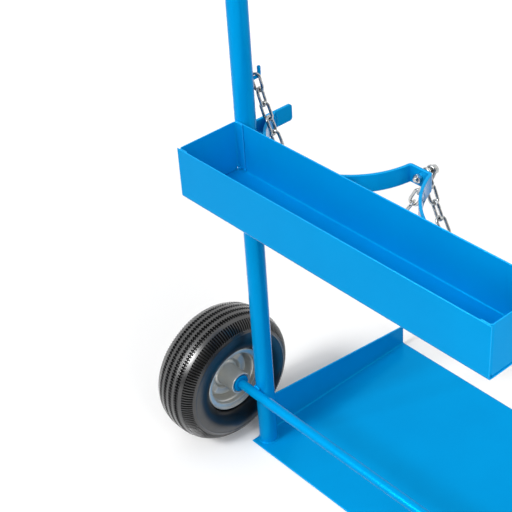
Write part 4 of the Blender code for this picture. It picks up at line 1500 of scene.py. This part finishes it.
    def dish(self, pressing: float) -> Array:
        """Profile of the dish from lip to neck, with a pressing of a given height.

        Args:
            pressing: Height of the pressed lobe over the web.

        Returns:
            Points (radius, offset) on the sheet's middle.
        """
        sheet, seat, web, lip = self.rim_sheet, self.seat_radius, self.web, self.lip_radius
        flange = self.lip_offset - sheet
        neck = self.hub_radius + SEAT_GAP + sheet / 2
        corners = [
            (lip - 0.9 * sheet, flange + 1.4 * sheet),
            (lip, flange + 0.7 * sheet),
            (lip - 1.5 * sheet, flange - 0.5 * sheet),
            (seat + 0.6 * sheet, flange - 0.5 * sheet),
            (seat, flange - 4 * sheet),
            (seat - 0.9 * sheet, flange - 5 * sheet),
            (seat - 1.1 * sheet, web + 4.6 * sheet),
            (seat - 2.2 * sheet, web),
            (seat - 3.6 * sheet, web),
            (seat - 5.2 * sheet, web + pressing),
            (neck + 4.2 * sheet, web + pressing),
            (neck + 3.0 * sheet, web),
            (neck + 2.2 * sheet, web),
            (neck + 1.3 * sheet, web + 2.3 * sheet),
            (neck, web + 2.9 * sheet),
            (neck, web + 3.8 * sheet),
        ]
        return fillet(corners, self.rim_bend, 3)

    def race(self, low: float) -> Array:
        """Section of a bearing: two rings with a sunken seal between them, on both faces.

        Args:
            low: Offset of the lower face.

        Returns:
            Rows of (radius, height).
        """
        inner, outer = self.bearing_bore, self.hub_bore - SEAT_GAP
        one, two = inner + self.race_inner, outer - self.race_outer
        seal = [(one + self.seal_slope, self.seal_depth), (two - self.seal_slope, self.seal_depth)]
        face = [(inner, 0), (one, 0), *seal, (two, 0), (outer, 0)]
        upper = np.array(face[::-1]) * (1.0, -1.0) + (0.0, low + self.bearing)
        return np.concatenate([np.array(face) + (0.0, low), upper])

    def build_valve(self) -> None:
        """Rubber valve stem with a ribbed cap, leaning out of the outer rim half.

        Both are round sections carried along the stem, by rows of (length, factor). The stem's
        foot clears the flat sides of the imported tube, at radius times cos(pi / facets).
        """
        tilt = math.radians(self.valve_tilt)
        flat = self.bead_radius * math.cos(math.pi / self.facets)
        root = flat - self.valve * math.sin(tilt) - SEAT_GAP
        foot = Matrix.Translation((root, 0, self.lip_offset - 11 * self.rim_sheet))
        lean = Matrix.Rotation(tilt - math.pi / 2, 4, "Y")
        at = Matrix.Rotation(math.radians(self.valve_angle), 4, "Z") @ foot @ lean
        stem = [(0.0, 0.98), (0.0018, 0.98), (0.0022, 0.80), (0.006, 0.76), (0.0066, 0.70)]
        stem += [(0.012, 0.66), (0.0125, 0.58), (0.0195, 0.55), (0.020, 0.50)]
        cap = [(0.0203, 0.86), (0.0206, 0.92), (0.0270, 0.92), (0.0288, 0.80), (0.0293, 0.62)]
        sides = 8 * self.cap_ribs
        turn = np.linspace(0, 2 * math.pi, sides, endpoint=False)
        ribs = 1.0 + 0.045 * np.sign(np.sin(self.cap_ribs * turn + 0.01))
        for name, node, section, rows in (
            ("valve_stem_rubber", "valve_stem", circle(32, self.valve), stem),
            ("valve_cap_ribbed", "valve_cap", circle(sides, self.valve) * ribs[:, None], cap),
        ):
            run, scale = np.array(rows).T
            self.add(name, carried(grid(0.0, 0.0, run), section, scale).moved(at), Coat.RUBBER, node)


# Studio


@dataclass(frozen=True)
class Lamp:
    """A lamp that shines from a place, a sun by its strength and spread or a panel by its power and size."""

    name: str
    place: tuple[float, float, float]
    aim: tuple[float, float, float]
    power: float
    spread: float = 0.0
    size: tuple[float, float] | None = None
    mirrored: bool = True
    lights: bool = True

    def build(self) -> None:
        """Makes the lamp, turns it to its aim and sets which rays see it."""
        data = bpy.data.lights.new(self.name, "SUN" if self.size is None else "AREA")
        data.energy = self.power
        if self.size is None:
            data.angle = math.radians(self.spread)
        else:
            data.shape = "RECTANGLE"
            data.size, data.size_y = self.size
        lamp = placed(self.name, data)
        lamp.location = self.place
        lamp.rotation_mode = "QUATERNION"
        lamp.rotation_quaternion = (Vector(self.place) - Vector(self.aim)).to_track_quat("Z", "Y")
        lamp.visible_glossy, lamp.visible_diffuse = self.mirrored, self.lights


@dataclass(frozen=True)
class Studio:
    """Pale floor, even light and the camera."""

    position: tuple[float, float, float] = (1.0666, -1.0994, 1.6653)
    azimuth: float = 51.1702
    elevation: float = 35.486
    roll: float = -4.2083
    lens: float = 91.17
    floor_half: float = 15.0
    floor_drop: float = 0.0004
    floor_colour: Colour = (0.87, 0.87, 0.87)
    floor_bounce: Colour = (0.28, 0.28, 0.28)
    floor_lift: float = 0.06
    far_lift: float = 0.2
    clear_from: float = 1.0
    clear_to: float = 1.8
    dome: float = 0.45
    dark_side: float = 0.12
    middle: tuple[float, float, float] = (0.0, 0.0, 0.0)
    wheel: tuple[float, float, float] = (-0.39, -0.03, 0.13)

    def build(self) -> None:
        """Sets the view transform and makes the camera, the floor, the dome and the lamps."""
        bpy.context.scene.view_settings.view_transform = "Standard"
        self.build_camera()
        self.build_floor()
        self.build_dome()
        for lamp in (
            Lamp("key", (-0.05, -0.73, 0.68), self.middle, 1.82, spread=14.0),
            Lamp("top", (0.0, 0.0, 1.0), self.middle, 0.40, spread=80.0),
            Lamp("fill", (1.30, -0.45, 1.15), (0.30, -0.08, 0.64), 12.5, size=(0.8, 0.8), mirrored=False),
            Lamp("strip", (-1.17, -2.16, 1.39), self.wheel, 16.0, size=(0.15, 1.7)),
            Lamp("sheen", (-0.51, -1.78, 1.76), self.wheel, 48.0, size=(1.4, 1.4), lights=False),
        ):
            lamp.build()

    def build_camera(self) -> None:
        """The camera at the photograph's viewing angle, with its own roll."""
        az, el, roll = (math.radians(a) for a in (self.azimuth, self.elevation, self.roll))
        back = np.array([math.sin(az) * math.cos(el), -math.cos(az) * math.cos(el), math.sin(el)])
        right = np.array([math.cos(az), math.sin(az), 0.0])
        up = np.cross(right, -back)
        across = right * math.cos(roll) + up * math.sin(roll)
        rise = -right * math.sin(roll) + up * math.cos(roll)
        data = bpy.data.cameras.new("camera")
        data.sensor_width = 36.0
        data.lens = self.lens
        data.clip_start, data.clip_end = 0.05, 60.0
        matrix = Matrix(np.stack([across, rise, back], axis=1).tolist()).to_4x4()
        matrix.translation = Vector(self.position)
        camera = placed("camera", data)
        camera.matrix_world = matrix
        bpy.context.scene.camera = camera

    def build_floor(self) -> None:
        """A pale floor that takes the cart's shadow and clears to white away from it where it is seen."""
        corners = [(-1, -1), (1, -1), (1, 1), (-1, 1)]
        mesh = bpy.data.meshes.new("floor")
        points = [(x * self.floor_half, y * self.floor_half, -self.floor_drop) for x, y in corners]
        mesh.from_pydata(points, [], [(0, 1, 2, 3)])
        material = bpy.data.materials.new("pale_floor")
        material.use_nodes = True
        graph = Graph(material.node_tree)
        seen = graph.rays("Camera", "Glossy", "Transmission")
        colour = graph.mix(seen, self.floor_bounce, self.floor_colour)
        diffuse = graph.node("ShaderNodeBsdfDiffuse", None, {"Color": colour})
        reach = graph.value("ShaderNodeVectorMath", "Value", {"operation": "LENGTH"}, {0: graph.place()})
        lift = self.floor_lift + self.far_lift * reach.between(self.clear_from, self.clear_to)
        glow = graph.node("ShaderNodeEmission", None, {"Strength": seen * lift})
        both = graph.node("ShaderNodeAddShader", None, {0: diffuse.outputs[0], 1: glow.outputs[0]})
        graph.node("ShaderNodeOutputMaterial", None, {"Surface": both.outputs[0]})
        mesh.materials.append(material)
        placed("floor", mesh)

    def build_dome(self) -> None:
        """An even dome of light, white where it is seen and darker in reflections of the camera's side."""
        world = bpy.data.worlds.new("dome")
        world.use_nodes = True
        graph = Graph(world.node_tree)
        straight, mirror = graph.rays("Camera"), graph.rays("Glossy", "Transmission")
        az = math.radians(self.azimuth)
        sockets = {0: graph.place("Generated"), 1: (math.sin(az), -math.cos(az), 0.0)}
        facing = graph.value("ShaderNodeVectorMath", "Value", {"operation": "DOT_PRODUCT"}, sockets)
        mirrored = mirror * facing.between(0.0, 0.6, 1.0, self.dark_side)
        strength = straight + (1.0 - straight) * (mirrored + (1.0 - mirror) * self.dome)
        light = graph.node("ShaderNodeBackground", None, {"Color": (1, 1, 1, 1), "Strength": strength})
        graph.node("ShaderNodeOutputWorld", None, {"Surface": light.outputs[0]})
        bpy.context.scene.world = world


def main() -> None:
    """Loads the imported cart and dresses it."""
    logging.basicConfig(level=logging.INFO, format="%(name)s %(message)s")
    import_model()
    Studio().build()
    frame = TubeFrame()
    saddle = Saddle(frame)
    for part in (frame, BasePlate(), Tray(frame), saddle, ChainGear(frame, saddle), Axle(frame)):
        part.build()
    for side in Side:
        Wheel(side).build()


if __name__ == "__main__":
    main()
